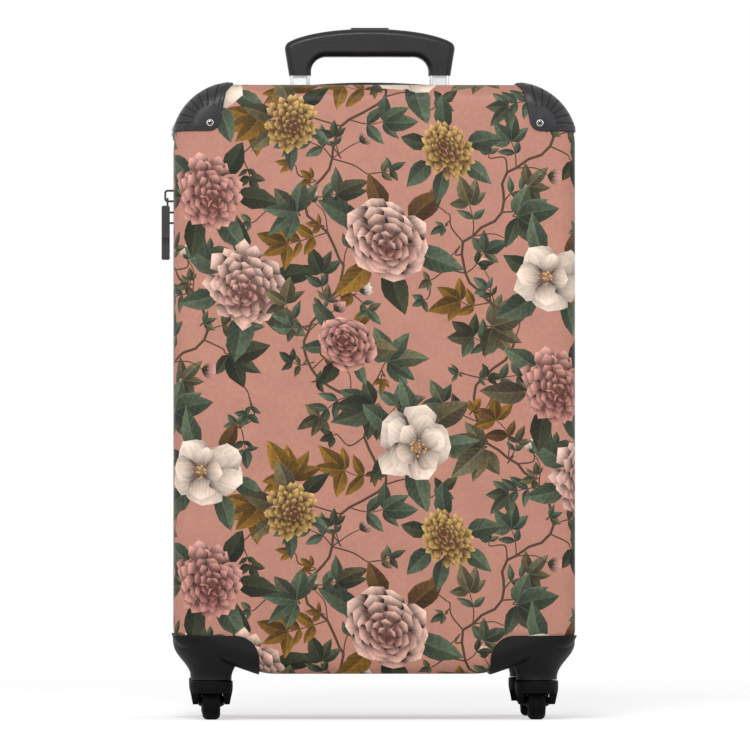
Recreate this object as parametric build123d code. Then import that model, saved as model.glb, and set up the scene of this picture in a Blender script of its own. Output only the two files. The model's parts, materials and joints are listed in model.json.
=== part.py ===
from build123d import *
import os
from math import acos, cos, degrees, radians, sin, sqrt

# Hard-shell cabin suitcase on four spinner wheels, with a telescopic handle and a zip round three sides.
# Frame: +X to the right of the front face, the front face towards -Y, +Z up.
# The origin is on the floor, below the middle of the parting plane. All sizes are in millimetres.

# Case halves
case_width = 346.0
case_height = 508.0
floor_clearance = 40.0
half_depth = 108.0
shell_wall = 2.2
corner_radius = 52.0
face_edge_radius = 15.0
well_run = 78.0
well_rise = 27.0
well_side_radius = 16.0
well_floor_radius = 60.0
rim_setback = 8.0
seat_gap = 0.15
overrun = 20.0

# Corner guards and their screws
guard_wall = 2.4
guard_height = 40.5
guard_reach_low = 38.0
guard_reach_top = 45.0
guard_flare_reach = 50.5
guard_flare_drop = 5.0
guard_corner_radius = 9.0
guard_rim_setback = 10.0
screw_inset = 31.0
screw_drop = 33.5
edge_screw_setback = 50.0
edge_screw_angle = 17.0
screw_head_diameter = 6.0
screw_head_height = 1.6
screw_shank_diameter = 3.2
screw_hole_clearance = 0.15

# Zip, hinge tape and linings
tape_thickness = 0.9
tape_reach = 16.0
bead_thickness = 2.4
bead_width = 2.4
bead_gap = 1.6
hinge_tape_gap = 0.4
hinge_margin = 8.0
tape_end_gap = 0.3
lining_thickness = 0.8
lining_gap = 0.3

# Zip sliders and pulls
upper_slider_height = 455.0
slider_spacing = 19.0
slider_length = 15.0
slider_width = 10.4
slider_plate = 1.3
slider_channel_clearance = 0.15
slider_post_width = 1.0
slider_post_length = 5.0
bridge_height = 11.0
bridge_proud = 8.4
bridge_bar = 1.8
bridge_width = 2.6
bridge_radius = 3.0
pull_wire = 1.8
pull_clearance = 0.2
pull_ring_length = 8.0
pull_ring_side_gap = 0.5
pull_tab_start = 6.0
pull_tab_end = 34.0
pull_tab_width = 7.2
pull_tab_thickness = 2.6
pull_tab_offset_x = 1.6
pull_tab_offset_y = 5.1
pull_tab_radius = 1.6

# Wheel housings
housing_wall = 2.2
housing_rise = 33.0
housing_reach = 73.5
housing_curve_radius = 21.0
housing_depth = 76.0
leg_foot_radius = 17.6
leg_ankle_radius = 17.9
leg_ankle_height = 39.6
leg_neck_radius = 21.2
leg_neck_height = 46.6
leg_shoulder_radius = 24.6
leg_shoulder_height = 51.0
leg_top_radius = 31.0
leg_top_height = 76.0
leg_gap = 0.5

# Casters
caster_inset = 32.4
caster_setback = 32.0
caster_trail = 9.0
wheel_radius = 16.0
wheel_width = 15.5
tread_shoulder = 3.4
tread_drop = 2.0
hub_radius = 5.5
hub_side_gap = 0.2
axle_radius = 1.6
running_clearance = 0.05
press_clearance = 0.02
fork_radius = 18.6
fork_waist_radius = 16.3
fork_bulge_height = 28.5
fork_top_height = 34.2
fork_crown = 1.7
fork_edge_radius = 1.6
hood_bottom_height = 23.0
hood_front_inset = 4.8
arm_inner = 11.2
arm_outer = 15.5
arm_tail = 6.0
arm_front = 6.0
arm_tip_height = 13.2
arm_tip_half = 5.5
arm_tip_radius = 4.0
pin_radius = 3.0
pin_head_radius = 4.3
pin_head_height = 0.8
pin_socket_depth = 16.0

# Telescopic handle
tube_inset = 111.6
tube_setback = 24.0
inner_tube_width = 17.2
inner_tube_depth = 12.0
inner_tube_radius = 3.5
tube_wall = 1.2
tube_clearance = 0.25
tube_foot_height = 58.0
stage_step = 4.0
outer_tube_proud = 2.0
middle_tube_proud = 3.5
bezel_guard_gap = 22.5
bezel_depth = 30.0
bezel_edge = 1.5
bezel_crown = 8.0
bezel_sink = 4.0
shell_slot_margin = 4.0
bezel_edge_radius = 1.2
base_height = 11.0
base_floor = 5.0
base_side = 6.0
base_front = 4.0

# Grip, release button and push frame
grip_rise = 16.1
grip_height = 41.1
grip_overhang = 13.9
grip_leg_width = 19.2
grip_bar = 24.5
grip_crown_rise = 19.5
grip_crown_overrun = 2.7
grip_corner_radius = 6.5
grip_inner_radius = 13.5
grip_depth = 24.0
grip_edge_radius = 5.0
grip_socket = 14.0
cap_thickness = 12.8
cap_end_inset = 10.0
cap_seat_gap = 0.1
button_width = 33.6
button_depth = 12.0
button_radius = 4.5
button_proud = 0.9
button_gap = 0.3
button_travel = 3.5
push_bar_height = 4.0
push_bar_depth = 6.0
push_bar_end = 3.0
push_rod_radius = 2.0
push_clearance = 0.9
grip_floor = 2.7
spring_thickness = 0.6
spring_width = 5.0
spring_span = 26.0
rod_foot_margin = 14.0

# Rear lining hump over the handle tubes
hump_side_margin = 11.0
hump_front_margin = 5.0

# Derived places
half_width = case_width / 2
case_top = floor_clearance + case_height
well_top = floor_clearance + well_rise
edge_flat = (2 - sqrt(2)) * (face_edge_radius + seat_gap)
tape_inset = shell_wall + seat_gap
chain_inset = tape_inset + tape_thickness / 2
caster_x = half_width - caster_inset
caster_y = half_depth - caster_setback
tube_x = half_width - tube_inset
tube_y = half_depth - tube_setback
middle_step = tube_wall + tube_clearance
middle_tube_width = inner_tube_width + 2 * middle_step
middle_tube_depth = inner_tube_depth + 2 * middle_step
middle_tube_radius = inner_tube_radius + middle_step
outer_tube_width = middle_tube_width + 2 * middle_step
outer_tube_depth = middle_tube_depth + 2 * middle_step
outer_tube_radius = middle_tube_radius + middle_step
outer_tube_top = case_top + outer_tube_proud
grip_base = case_top + grip_rise
grip_top = grip_base + grip_height
grip_under = grip_top - grip_bar
grip_inner_x = tube_x - grip_leg_width / 2
grip_outer_x = tube_x + grip_leg_width / 2
grip_end = tube_x + grip_overhang
push_bar_top = grip_top - cap_thickness - cap_seat_gap
push_bar_low = push_bar_top - push_bar_height
cavity_floor = grip_under + grip_floor


def block(low, high):
    """Box between two opposite corners."""
    low, high = Vector(*low), Vector(*high)
    size = high - low
    return Pos(*((low + high) / 2)) * Box(size.X, size.Y, size.Z)


def case_outline(grow):
    """Front view of the case, grown or shrunk by an even margin."""
    outline = make_face(
        Polyline(
            (well_run - half_width, floor_clearance),
            (half_width - well_run, floor_clearance),
            (half_width, well_top),
            (half_width, case_top),
            (-half_width, case_top),
            (-half_width, well_top),
            close=True,
        )
    )
    outline = fillet(outline.vertices().group_by(Axis.Y)[-1], corner_radius)
    outline = fillet(outline.vertices().group_by(Axis.Y)[1], well_side_radius)
    outline = fillet(outline.vertices().group_by(Axis.Y)[0], well_floor_radius)
    return offset(outline, grow) if grow else outline


def half_form(grow):
    """Rounded outer form of the front half as a full solid, grown by a margin."""
    form = extrude(Plane.XZ * case_outline(grow), half_depth + grow)
    return fillet(form.edges().group_by(Axis.Y)[0], face_edge_radius + grow)


def half_core(grow):
    """Like the rounded form, with a flat cut along the face edge that touches the rounding outside."""
    core = extrude(Plane.XZ * case_outline(grow), half_depth + grow)
    return chamfer(core.edges().group_by(Axis.Y)[0], edge_flat)


def outline_band(outer_grow, inner_grow, near, far):
    """Band between two even margins of the case outline, at a stretch of depths in front of the parting."""
    band = case_outline(outer_grow) - case_outline(inner_grow)
    return extrude(Plane.XZ.offset(near) * band, far - near)


def behind(shape):
    """The same shape on the rear half."""
    return mirror(shape, about=Plane.XZ)


def on_right(shape):
    """The same shape on the right-hand side."""
    return mirror(shape, about=Plane.YZ)


def mouth(setback):
    """Everything of the front half nearer to the parting plane than a setback."""
    reach = half_width + overrun
    return block((-reach, -setback, 0), (reach, 0, case_top + overrun))


def screw_places():
    """Seats of the three screws of the left front guard: on its face and on both sides of its corner."""
    lift = seat_gap + guard_wall
    arc_x = corner_radius - half_width
    arc_z = case_top - corner_radius
    face_y = -half_depth - lift
    seats = [Plane((screw_inset - half_width, face_y, case_top - screw_drop), z_dir=(0, -1, 0))]
    for angle in (edge_screw_angle, 90 - edge_screw_angle):
        way = Vector(-cos(radians(angle)), 0, sin(radians(angle)))
        seat = Vector(arc_x, edge_screw_setback - half_depth, arc_z) + way * (corner_radius + lift)
        seats.append(Plane(seat, x_dir=(0, 1, 0), z_dir=way))
    return seats


def screw_solid():
    """One pan-head screw, seated at the origin."""
    length = guard_wall + seat_gap + shell_wall
    head = extrude(Circle(screw_head_diameter / 2), screw_head_height)
    shank = extrude(Circle(screw_shank_diameter / 2), -length)
    return head + shank


def screw_holes():
    """Drillings for the screws of the left front guard, through the guard and the shell."""
    radius = screw_shank_diameter / 2 + screw_hole_clearance
    return [seat * Cylinder(radius, overrun) for seat in screw_places()]


def make_front_shell():
    """Moulded front half: rounded tray with a plain rim and screw holes at its top corners."""
    shell = half_form(0) - half_core(-shell_wall) - mouth(rim_setback)
    for hole in screw_holes():
        shell = shell - hole - on_right(hole)
    return shell


def tube_hole(width, depth, radius, low, high):
    """Upright rounded bar on the left handle tube's axis, as a tube blank or as a cut."""
    section = Pos(-tube_x, tube_y) * RectangleRounded(width, depth, radius)
    return extrude(Plane.XY.offset(low) * section, high - low)


def make_rear_shell():
    """Moulded rear half, with two slots in its top for the handle tubes."""
    shell = behind(make_front_shell())
    grow = 2 * shell_slot_margin
    slot = tube_hole(
        outer_tube_width + grow,
        outer_tube_depth + grow,
        outer_tube_radius + grow / 2,
        case_top - overrun,
        case_top + overrun,
    )
    return shell - slot - on_right(slot)


def make_front_guard():
    """Left front corner guard: a moulded cap over the top corner with a raised lip round its edge."""
    low = case_top - guard_height
    region = make_face(
        Polyline(
            (-half_width - overrun, low),
            (guard_reach_low - half_width, low),
            (guard_reach_top - half_width, case_top - guard_flare_drop),
            (guard_flare_reach - half_width, case_top + seat_gap + guard_wall),
            (guard_flare_reach - half_width, case_top + overrun),
            (-half_width - overrun, case_top + overrun),
            close=True,
        )
    )
    inner_corner = region.vertices().group_by(Axis.Y)[0].sort_by(Axis.X)[-1]
    region = fillet(inner_corner, guard_corner_radius)
    reach = half_depth + overrun - guard_rim_setback
    zone = extrude(Plane.XZ.offset(guard_rim_setback) * region, reach)
    guard = (half_form(seat_gap + guard_wall) & zone) - half_core(seat_gap)
    for hole in screw_holes():
        guard = guard - hole
    return guard


def make_front_screws():
    """Screws of both front guards."""
    left = [seat * screw_solid() for seat in screw_places()]
    return Compound(children=left + [on_right(screw) for screw in left])


def hinge_zone(gap):
    """Straight stretch of the right side where the two halves are joined by tape."""
    low = well_top + well_side_radius + hinge_margin + gap
    high = case_top - corner_radius - hinge_margin - gap
    reach = tape_reach + overrun
    return block((half_width / 2, -reach, low), (half_width + overrun, reach, high))


def make_front_zip():
    """Zip tape sewn inside the front rim, with its row of teeth as a bead along the free edge."""
    near = bead_gap / 2
    half_bead = bead_thickness / 2
    tape = outline_band(-tape_inset, -tape_inset - tape_thickness, near, tape_reach)
    bead = outline_band(half_bead - chain_inset, -half_bead - chain_inset, near, near + bead_width)
    return tape + bead - hinge_zone(0)


def make_front_hinge_tape():
    """Front half of the woven tape that joins the two halves on the right."""
    band = outline_band(-tape_inset, -tape_inset - tape_thickness, hinge_tape_gap / 2, tape_reach)
    return band & hinge_zone(tape_end_gap)


def make_front_lining():
    """Cloth lining of the front half, up to the edge of the zip tape."""
    skin = half_core(-shell_wall - lining_gap) - half_core(-shell_wall - lining_gap - lining_thickness)
    return skin - mouth(tape_reach + lining_gap)


def hump(shrink):
    """Space behind the rear lining that the handle tubes and their base take."""
    reach = tube_x + outer_tube_width / 2 + hump_side_margin - shrink
    near = tube_y - outer_tube_depth / 2 - hump_front_margin + shrink
    return block((-reach, near, 0), (reach, half_depth + overrun, case_top + overrun))


def make_rear_lining():
    """Cloth lining of the rear half, raised over the handle tubes."""
    outer = behind(half_core(-shell_wall - lining_gap)) - hump(lining_thickness)
    inner = behind(half_core(-shell_wall - lining_gap - lining_thickness)) - hump(0)
    return outer - inner - behind(mouth(tape_reach + lining_gap))


def make_slider(height):
    """Zip slider: two plates round the teeth, a post between the rows and a bridge for the pull."""
    centre = chain_inset - half_width
    channel = bead_thickness / 2 + slider_channel_clearance
    half_length = slider_length / 2
    half_slider = slider_width / 2
    outside = centre - channel - slider_plate
    low = height - half_length
    high = height + half_length
    outer_plate = block((outside, -half_slider, low), (centre - channel, half_slider, high))
    inside = centre + channel + slider_plate
    inner_plate = block((centre + channel, -half_slider, low), (inside, half_slider, high))
    post_y = slider_post_width / 2
    post_z = slider_post_length / 2
    post = block((outside, -post_y, height - post_z), (inside, post_y, height + post_z))
    loop_width = 2 * bridge_proud
    loop = RectangleRounded(loop_width, bridge_height, bridge_radius)
    eye = RectangleRounded(
        loop_width - 2 * bridge_bar, bridge_height - 2 * bridge_bar, bridge_radius - bridge_bar
    )
    bridge = Pos(outside, 0, height) * extrude(Plane.XZ * (loop - eye), bridge_width / 2, both=True)
    keep = block((outside - loop_width, -half_slider, low), (outside, half_slider, high))
    return outer_plate + inner_plate + post + (bridge & keep)


def pull_pivot(height):
    """Where the pull's wire lies in the bridge of a slider."""
    outside = chain_inset - half_width - bead_thickness / 2 - slider_channel_clearance - slider_plate
    hold = bridge_bar + pull_wire / 2 + pull_clearance
    return Vector(outside - bridge_proud + hold, 0, height - bridge_height / 2 + hold)


def make_pull(height, side):
    """Zip pull: a wire ring through the bridge and a flat moulded tab on one side of it."""
    pivot = pull_pivot(height)
    wire = pull_wire / 2
    ring_y = bridge_width / 2 + pull_ring_side_gap + pull_wire
    foot = -pull_ring_length
    ring = block((-wire, -ring_y, foot), (wire, ring_y, wire))
    eye_y = ring_y - pull_wire
    ring = ring - block((-pull_wire, -eye_y, foot + pull_wire), (pull_wire, eye_y, wire))
    ring = ring + Rot(90, 0, 0) * Cylinder(wire, 2 * ring_y)
    tab = RectangleRounded(pull_tab_width, pull_tab_end - pull_tab_start, pull_tab_radius)
    tab = extrude(Plane.XZ * tab, pull_tab_thickness / 2, both=True)
    tab_z = -(pull_tab_start + pull_tab_end) / 2
    tab = Pos(-pull_tab_offset_x, side * pull_tab_offset_y, tab_z) * tab
    stub_y = sorted((0, side * pull_tab_offset_y))
    stub = block((-wire, stub_y[0], foot), (wire, stub_y[1], foot + pull_wire))
    return Pos(*pivot) * (ring + stub + tab)


def make_front_housing():
    """Left front wheel housing: a moulded cap over the slanted bottom corner with a tapered leg."""
    crest = floor_clearance + housing_rise
    low = floor_clearance - overrun
    region = make_face(
        Polyline(
            (-half_width - overrun, low),
            (housing_reach - half_width, low),
            (housing_reach - half_width, crest),
            (-half_width - overrun, crest),
            close=True,
        )
    )
    shoulder = region.vertices().group_by(Axis.Y)[-1].sort_by(Axis.X)[-1]
    region = fillet(shoulder, housing_curve_radius)
    reach = housing_depth + overrun
    zone = extrude(Plane.XZ.offset(half_depth - housing_depth) * region, reach)
    cap = half_form(seat_gap + housing_wall) & zone
    foot = fork_top_height + leg_gap
    flare = Spline(
        (leg_foot_radius, foot),
        (leg_ankle_radius, leg_ankle_height),
        (leg_neck_radius, leg_neck_height),
        (leg_shoulder_radius, leg_shoulder_height),
        (leg_top_radius, leg_top_height),
    )
    axis = Polyline((leg_top_radius, leg_top_height), (0, leg_top_height), (0, foot), (leg_foot_radius, foot))
    leg_profile = make_face(flare + axis)
    leg = Pos(-caster_x, -caster_y) * revolve(Plane.XZ * leg_profile, Axis.Z)
    socket = Pos(-caster_x, -caster_y) * extrude(
        Plane.XY.offset(foot) * Circle(pin_radius + press_clearance), pin_socket_depth
    )
    return cap + (leg & zone) - half_core(seat_gap) - socket


def make_front_pins():
    """Swivel pins of both front casters, headed under the fork crowns."""
    seat = fork_top_height - fork_crown
    tip = fork_top_height + leg_gap + pin_socket_depth - press_clearance
    head = extrude(Plane.XY.offset(seat) * Circle(pin_head_radius), -pin_head_height)
    stem = extrude(Plane.XY.offset(seat) * Circle(pin_radius), tip - seat)
    pin = Pos(-caster_x, -caster_y) * (head + stem)
    return Compound(children=[pin, on_right(pin)])


def make_fork():
    """Caster fork about its own swivel axis: a hood with a closed front and two arms to the axle."""
    tail = caster_trail + arm_tail
    side = Spline(
        (fork_waist_radius, arm_tip_height),
        (fork_radius, fork_bulge_height),
        tangents=[(0, 1), (0, 1)],
    )
    core = Polyline(
        (fork_radius, fork_bulge_height),
        (fork_radius, fork_top_height),
        (0, fork_top_height),
        (0, arm_tip_height),
        (fork_waist_radius, arm_tip_height),
    )
    barrel = revolve(Plane.XZ * make_face(side + core), Axis.Z)
    barrel = fillet(barrel.edges().group_by(Axis.Z)[-1], fork_edge_radius)
    back = block((-arm_outer, 0, hood_bottom_height), (arm_outer, tail, fork_top_height))
    back = fillet(back.edges().group_by(Axis.Z)[-1], fork_edge_radius)
    arm = make_face(
        Polyline(
            (-arm_front, hood_bottom_height),
            (caster_trail - arm_tip_half, arm_tip_height),
            (caster_trail + arm_tip_half, arm_tip_height),
            (tail, hood_bottom_height),
            close=True,
        )
    )
    arm = fillet(arm.vertices().group_by(Axis.Y)[0], arm_tip_radius)
    arms = extrude(Plane.YZ * arm, arm_outer, both=True)
    cheeks = extrude(Plane.YZ * arm, fork_radius, both=True)
    above = block((-fork_radius, -fork_radius, hood_bottom_height), (fork_radius, fork_radius, fork_top_height))
    hood = (barrel & (above + cheeks)) + back
    pocket = block(
        (-arm_inner, hood_front_inset - fork_radius, 0),
        (arm_inner, tail + overrun, fork_top_height - fork_crown),
    )
    pin_bore = Pos(0, 0, fork_top_height) * Cylinder(pin_radius + running_clearance, overrun)
    axle_place = Pos(0, caster_trail, wheel_radius) * Rot(0, 90, 0)
    axle_bore = axle_place * Cylinder(axle_radius + press_clearance, 2 * fork_radius)
    return hood + arms - pocket - pin_bore - axle_bore


def make_axle():
    """Wheel axle about the same swivel axis, flush with the fork arms."""
    return Pos(0, caster_trail, wheel_radius) * Rot(0, 90, 0) * Cylinder(axle_radius, 2 * arm_outer)


def make_wheel():
    """Wheel with a bevelled tread and a hub that runs between the fork arms."""
    side = wheel_width / 2
    hub_end = arm_inner - hub_side_gap
    bore = axle_radius + running_clearance
    section = make_face(
        Polyline(
            (bore, -hub_end),
            (hub_radius, -hub_end),
            (hub_radius, -side),
            (wheel_radius - tread_drop, -side),
            (wheel_radius, tread_shoulder - side),
            (wheel_radius, side - tread_shoulder),
            (wheel_radius - tread_drop, side),
            (hub_radius, side),
            (hub_radius, hub_end),
            (bore, hub_end),
            close=True,
        )
    )
    wheel = revolve(Plane.XZ * section, Axis.Z)
    return Pos(0, caster_trail, wheel_radius) * Rot(0, 90, 0) * wheel


def make_tube(width, depth, radius, low, high):
    """Left handle tube of one stage."""
    blank = tube_hole(width, depth, radius, low, high)
    grow = 2 * tube_wall
    return blank - tube_hole(width - grow, depth - grow, radius - tube_wall, low, high)


def make_bezel():
    """Crowned plate on the rear top edge that guides both handle tubes."""
    end = half_width - guard_flare_reach - bezel_guard_gap
    rim = case_top + bezel_edge
    low = case_top - bezel_sink
    top = ThreePointArc((-end, rim), (0, rim + bezel_crown), (end, rim))
    sides = Polyline((end, rim), (end, low), (-end, low), (-end, rim))
    plate = extrude(Plane.XZ.offset(-tube_y) * make_face(top + sides), bezel_depth / 2, both=True)
    plate = fillet(plate.edges().filter_by(GeomType.CIRCLE), bezel_edge_radius)
    plate = plate - behind(half_form(seat_gap))
    grow = 2 * tube_clearance
    seat = tube_hole(
        outer_tube_width + grow,
        outer_tube_depth + grow,
        outer_tube_radius + grow / 2,
        case_top - overrun,
        outer_tube_top + tube_clearance,
    )
    guide = tube_hole(
        middle_tube_width + grow,
        middle_tube_depth + grow,
        middle_tube_radius + grow / 2,
        case_top - overrun,
        case_top + overrun,
    )
    return plate - seat - guide - on_right(seat) - on_right(guide)


def make_tube_base():
    """Bracket on the rear wall that holds the feet of both outer tubes."""
    reach = tube_x + outer_tube_width / 2 + base_side
    near = tube_y - outer_tube_depth / 2 - base_front
    low = tube_foot_height - base_floor
    base = block((-reach, near, low), (reach, half_depth - tape_inset, low + base_height))
    grow = 2 * tube_clearance
    seat = tube_hole(
        outer_tube_width + grow,
        outer_tube_depth + grow,
        outer_tube_radius + grow / 2,
        tube_foot_height,
        low + base_height,
    )
    return base - seat - on_right(seat)


def grip_solid():
    """Whole grip as one form: a crowned bar with rounded ends and two short legs."""
    half = grip_end
    reach = half + grip_crown_overrun
    start = degrees(acos(half / reach))
    middle = (0, grip_top - grip_crown_rise)
    crown = EllipticalCenterArc(middle, reach, grip_crown_rise, start_angle=start, arc_size=180 - 2 * start)
    shoulder = grip_top - grip_crown_rise * (1 - sin(radians(start)))
    rest = Polyline(
        (-half, shoulder),
        (-grip_outer_x, grip_base),
        (-grip_inner_x, grip_base),
        (-grip_inner_x, grip_under),
        (grip_inner_x, grip_under),
        (grip_inner_x, grip_base),
        (grip_outer_x, grip_base),
        (half, shoulder),
    )
    profile = make_face(crown + rest)
    profile = fillet(profile.vertices().group_by(Axis.Y)[-1], grip_corner_radius)
    profile = fillet(profile.vertices().group_by(Axis.Y)[1], grip_inner_radius)
    grip = extrude(Plane.XZ.offset(-tube_y) * profile, grip_depth / 2, both=True)
    feet = grip.edges().group_by(Axis.Z)[0]
    rims = grip.edges().group_by(Axis.Y)[0] + grip.edges().group_by(Axis.Y)[-1]
    return fillet([edge for edge in rims if edge not in feet], grip_edge_radius)


def cap_zone(gap):
    """Upper middle of the grip, which the cap takes."""
    reach = grip_end - cap_end_inset - gap
    low = grip_top - cap_thickness + gap
    return block((-reach, 0, low), (reach, 2 * tube_y, grip_top + overrun))


def button_bar(gap, low, high):
    """Upright rounded bar at the button's place."""
    section = RectangleRounded(button_width + 2 * gap, button_depth + 2 * gap, button_radius + gap)
    return extrude(Plane.XY.offset(low) * (Pos(0, tube_y) * section), high - low)


def make_grip_cap():
    """Upper cover of the grip, with the slot of the button."""
    return (grip_solid() & cap_zone(cap_seat_gap)) - button_bar(button_gap, 0, grip_top + overrun)


def make_grip_body():
    """Lower body of the grip: sockets for the tubes, and a channel for the push frame."""
    body = grip_solid() - cap_zone(0)
    half_slot = push_bar_depth / 2 + push_clearance
    reach = tube_x + push_bar_end + push_clearance
    channel = block(
        (-reach, tube_y - half_slot, cavity_floor), (reach, tube_y + half_slot, grip_top - cap_thickness)
    )
    well = button_bar(button_gap, push_bar_top - button_travel - push_clearance, grip_top)
    grow = 2 * tube_clearance
    socket = tube_hole(
        inner_tube_width + grow,
        inner_tube_depth + grow,
        inner_tube_radius + grow / 2,
        grip_base,
        grip_base + grip_socket,
    )
    shaft = Pos(-tube_x, tube_y, grip_base) * Cylinder(push_rod_radius + push_clearance, 2 * grip_height)
    shaft = shaft & block((-half_width, 0, grip_base), (half_width, half_depth, push_bar_low))
    return body - channel - well - socket - on_right(socket) - shaft - on_right(shaft)


def make_button():
    """Release button, proud of the cap."""
    return button_bar(0, push_bar_top, grip_top + button_proud)


def make_push_frame():
    """Bent steel frame under the button: a cross bar in the grip and a rod down each inner tube."""
    reach = tube_x + push_bar_end
    half_bar = push_bar_depth / 2
    bar = block((-reach, tube_y - half_bar, push_bar_low), (reach, tube_y + half_bar, push_bar_top))
    foot = tube_foot_height + 2 * stage_step + rod_foot_margin
    rod = Pos(-tube_x, tube_y, foot) * extrude(Circle(push_rod_radius), push_bar_low - foot)
    return bar + rod + on_right(rod)


def make_spring():
    """Bowed leaf spring that lifts the push frame."""
    end = spring_span / 2
    rise = push_bar_low - cavity_floor - spring_thickness
    outer = ThreePointArc((-end, cavity_floor), (0, push_bar_low), (end, cavity_floor))
    inner_end = end - spring_thickness
    inner = ThreePointArc((-inner_end, cavity_floor), (0, cavity_floor + rise), (inner_end, cavity_floor))
    feet = Line((-end, cavity_floor), (-inner_end, cavity_floor)) + Line(
        (end, cavity_floor), (inner_end, cavity_floor)
    )
    bow = make_face(outer + inner + feet)
    return extrude(Plane.XZ.offset(-tube_y) * bow, spring_width / 2, both=True)


def mirrored_pair(name, shape):
    """A left-hand piece and its right-hand twin."""
    return {f"{name}_left": shape, f"{name}_right": on_right(shape)}


def build_parts():
    """All pieces of the suitcase by name."""
    parts = {}
    front = {
        "shell": make_front_shell(),
        "zip_tape": make_front_zip(),
        "hinge_tape": make_front_hinge_tape(),
        "lining": make_front_lining(),
        "guard_screws": make_front_screws(),
        "swivel_pins": make_front_pins(),
    }
    rear = {name: behind(shape) for name, shape in front.items()}
    rear["shell"] = make_rear_shell()
    rear["lining"] = make_rear_lining()
    guard = make_front_guard()
    housing = make_front_housing()
    front |= mirrored_pair("corner_guard", guard) | mirrored_pair("wheel_housing", housing)
    rear |= mirrored_pair("corner_guard", behind(guard)) | mirrored_pair("wheel_housing", behind(housing))
    parts |= {f"front_{name}": shape for name, shape in front.items()}
    parts |= {f"rear_{name}": shape for name, shape in rear.items()}
    caster = {"fork": make_fork(), "axle": make_axle(), "wheel": make_wheel()}
    for end, along in (("front", -caster_y), ("rear", caster_y)):
        for side, across in (("left", -caster_x), ("right", caster_x)):
            for name, shape in caster.items():
                parts[f"{end}_{side}_{name}"] = Pos(across, along) * shape
    inner_foot = tube_foot_height + 2 * stage_step
    tubes = {
        "outer_tube": make_tube(
            outer_tube_width, outer_tube_depth, outer_tube_radius, tube_foot_height, outer_tube_top
        ),
        "middle_tube": make_tube(
            middle_tube_width,
            middle_tube_depth,
            middle_tube_radius,
            tube_foot_height + stage_step,
            case_top + middle_tube_proud,
        ),
        "inner_tube": make_tube(
            inner_tube_width, inner_tube_depth, inner_tube_radius, inner_foot, grip_base + grip_socket
        ),
    }
    for name, shape in tubes.items():
        parts |= mirrored_pair(name, shape)
    lower_slider_height = upper_slider_height - slider_spacing
    parts |= {
        "handle_bezel": make_bezel(),
        "tube_base": make_tube_base(),
        "grip_body": make_grip_body(),
        "grip_cap": make_grip_cap(),
        "release_button": make_button(),
        "push_frame": make_push_frame(),
        "button_spring": make_spring(),
        "upper_zip_slider": make_slider(upper_slider_height),
        "lower_zip_slider": make_slider(lower_slider_height),
        "upper_zip_pull": make_pull(upper_slider_height, -1),
        "lower_zip_pull": make_pull(lower_slider_height, 1),
    }
    return parts


os.makedirs("parts", exist_ok=True)
for node, piece in build_parts().items():
    export_step(piece, f"parts/{node}.step")
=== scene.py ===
"""Looks of a hard-shell cabin suitcase: printed shells, corner guards, zip, linings, wheels and finishes."""

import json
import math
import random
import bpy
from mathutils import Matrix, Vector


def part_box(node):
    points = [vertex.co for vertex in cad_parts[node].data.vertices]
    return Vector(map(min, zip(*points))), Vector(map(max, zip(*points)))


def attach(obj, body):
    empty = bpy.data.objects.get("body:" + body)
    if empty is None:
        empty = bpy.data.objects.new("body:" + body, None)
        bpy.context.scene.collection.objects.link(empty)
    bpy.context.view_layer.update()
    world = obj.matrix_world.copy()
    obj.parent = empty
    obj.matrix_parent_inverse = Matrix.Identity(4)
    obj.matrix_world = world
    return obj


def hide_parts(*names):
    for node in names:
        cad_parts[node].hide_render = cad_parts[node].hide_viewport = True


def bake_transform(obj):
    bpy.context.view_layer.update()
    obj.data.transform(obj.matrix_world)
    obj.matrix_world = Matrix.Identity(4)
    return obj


bl_info = {
    "name": "Cabin suitcase",
    "version": (1, 0, 0),
    "blender": (4, 5, 0),
    "location": "View3D > Sidebar > Suitcase",
    "description": "Dresses the packed suitcase frame with its print, trim, cloth and finishes",
    "category": "Object",
}

from collections import namedtuple

import bmesh
import bpy
import numpy as np
from mathutils import Vector
from mathutils.geometry import delaunay_2d_cdt

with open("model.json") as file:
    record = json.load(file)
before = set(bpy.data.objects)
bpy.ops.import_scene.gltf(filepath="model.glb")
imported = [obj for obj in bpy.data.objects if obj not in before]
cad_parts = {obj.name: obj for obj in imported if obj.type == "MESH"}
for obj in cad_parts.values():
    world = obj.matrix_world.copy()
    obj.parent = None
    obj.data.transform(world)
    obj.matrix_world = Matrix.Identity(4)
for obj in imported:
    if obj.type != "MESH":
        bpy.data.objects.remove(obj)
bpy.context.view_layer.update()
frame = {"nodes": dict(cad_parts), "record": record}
NODES = frame["nodes"]

# Sizes of the case in millimetres, from the frame where it gives them
MM = 0.001
SHELL_LOW, SHELL_HIGH = (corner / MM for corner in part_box("front_shell"))
HALF_WIDTH = SHELL_HIGH.x
CASE_TOP = SHELL_HIGH.z
CASE_FLOOR = SHELL_LOW.z
HALF_DEPTH = -SHELL_LOW.y
RIM = -SHELL_HIGH.y
SHELL_WALL = 2.2
CORNER_RADIUS = 52.0
EDGE_RADIUS = 15.0
WELL_RUN = 78.0
WELL_RISE = 27.0
WELL_SIDE_RADIUS = 16.0
WELL_FLOOR_RADIUS = 60.0
EDGE_RUN = EDGE_RADIUS * math.pi / 2
WALL_RUN = HALF_DEPTH - EDGE_RADIUS
ARC_STEP = math.radians(5)
EDGE_STEPS = 7
CUT_EPSILON = 1e-5
SMOOTH_ANGLE = math.radians(34)
HALVES = ("front", "rear")
SIDES = ("left", "right")
FACING = {"front": -1, "rear": 1}
LINING_GAP = 2.5
TEETH_INSET = 2.8
TEETH_SETBACK = 2.0

# Small sizes and places in metres
TOOTH_SIZE = (0.0017, 0.0026, 0.0026)
RECESS_WIDTH, RECESS_LENGTH = 0.0012, 0.0038
LIGHT_AIM = Vector((0, 0, 0.28))

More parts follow.
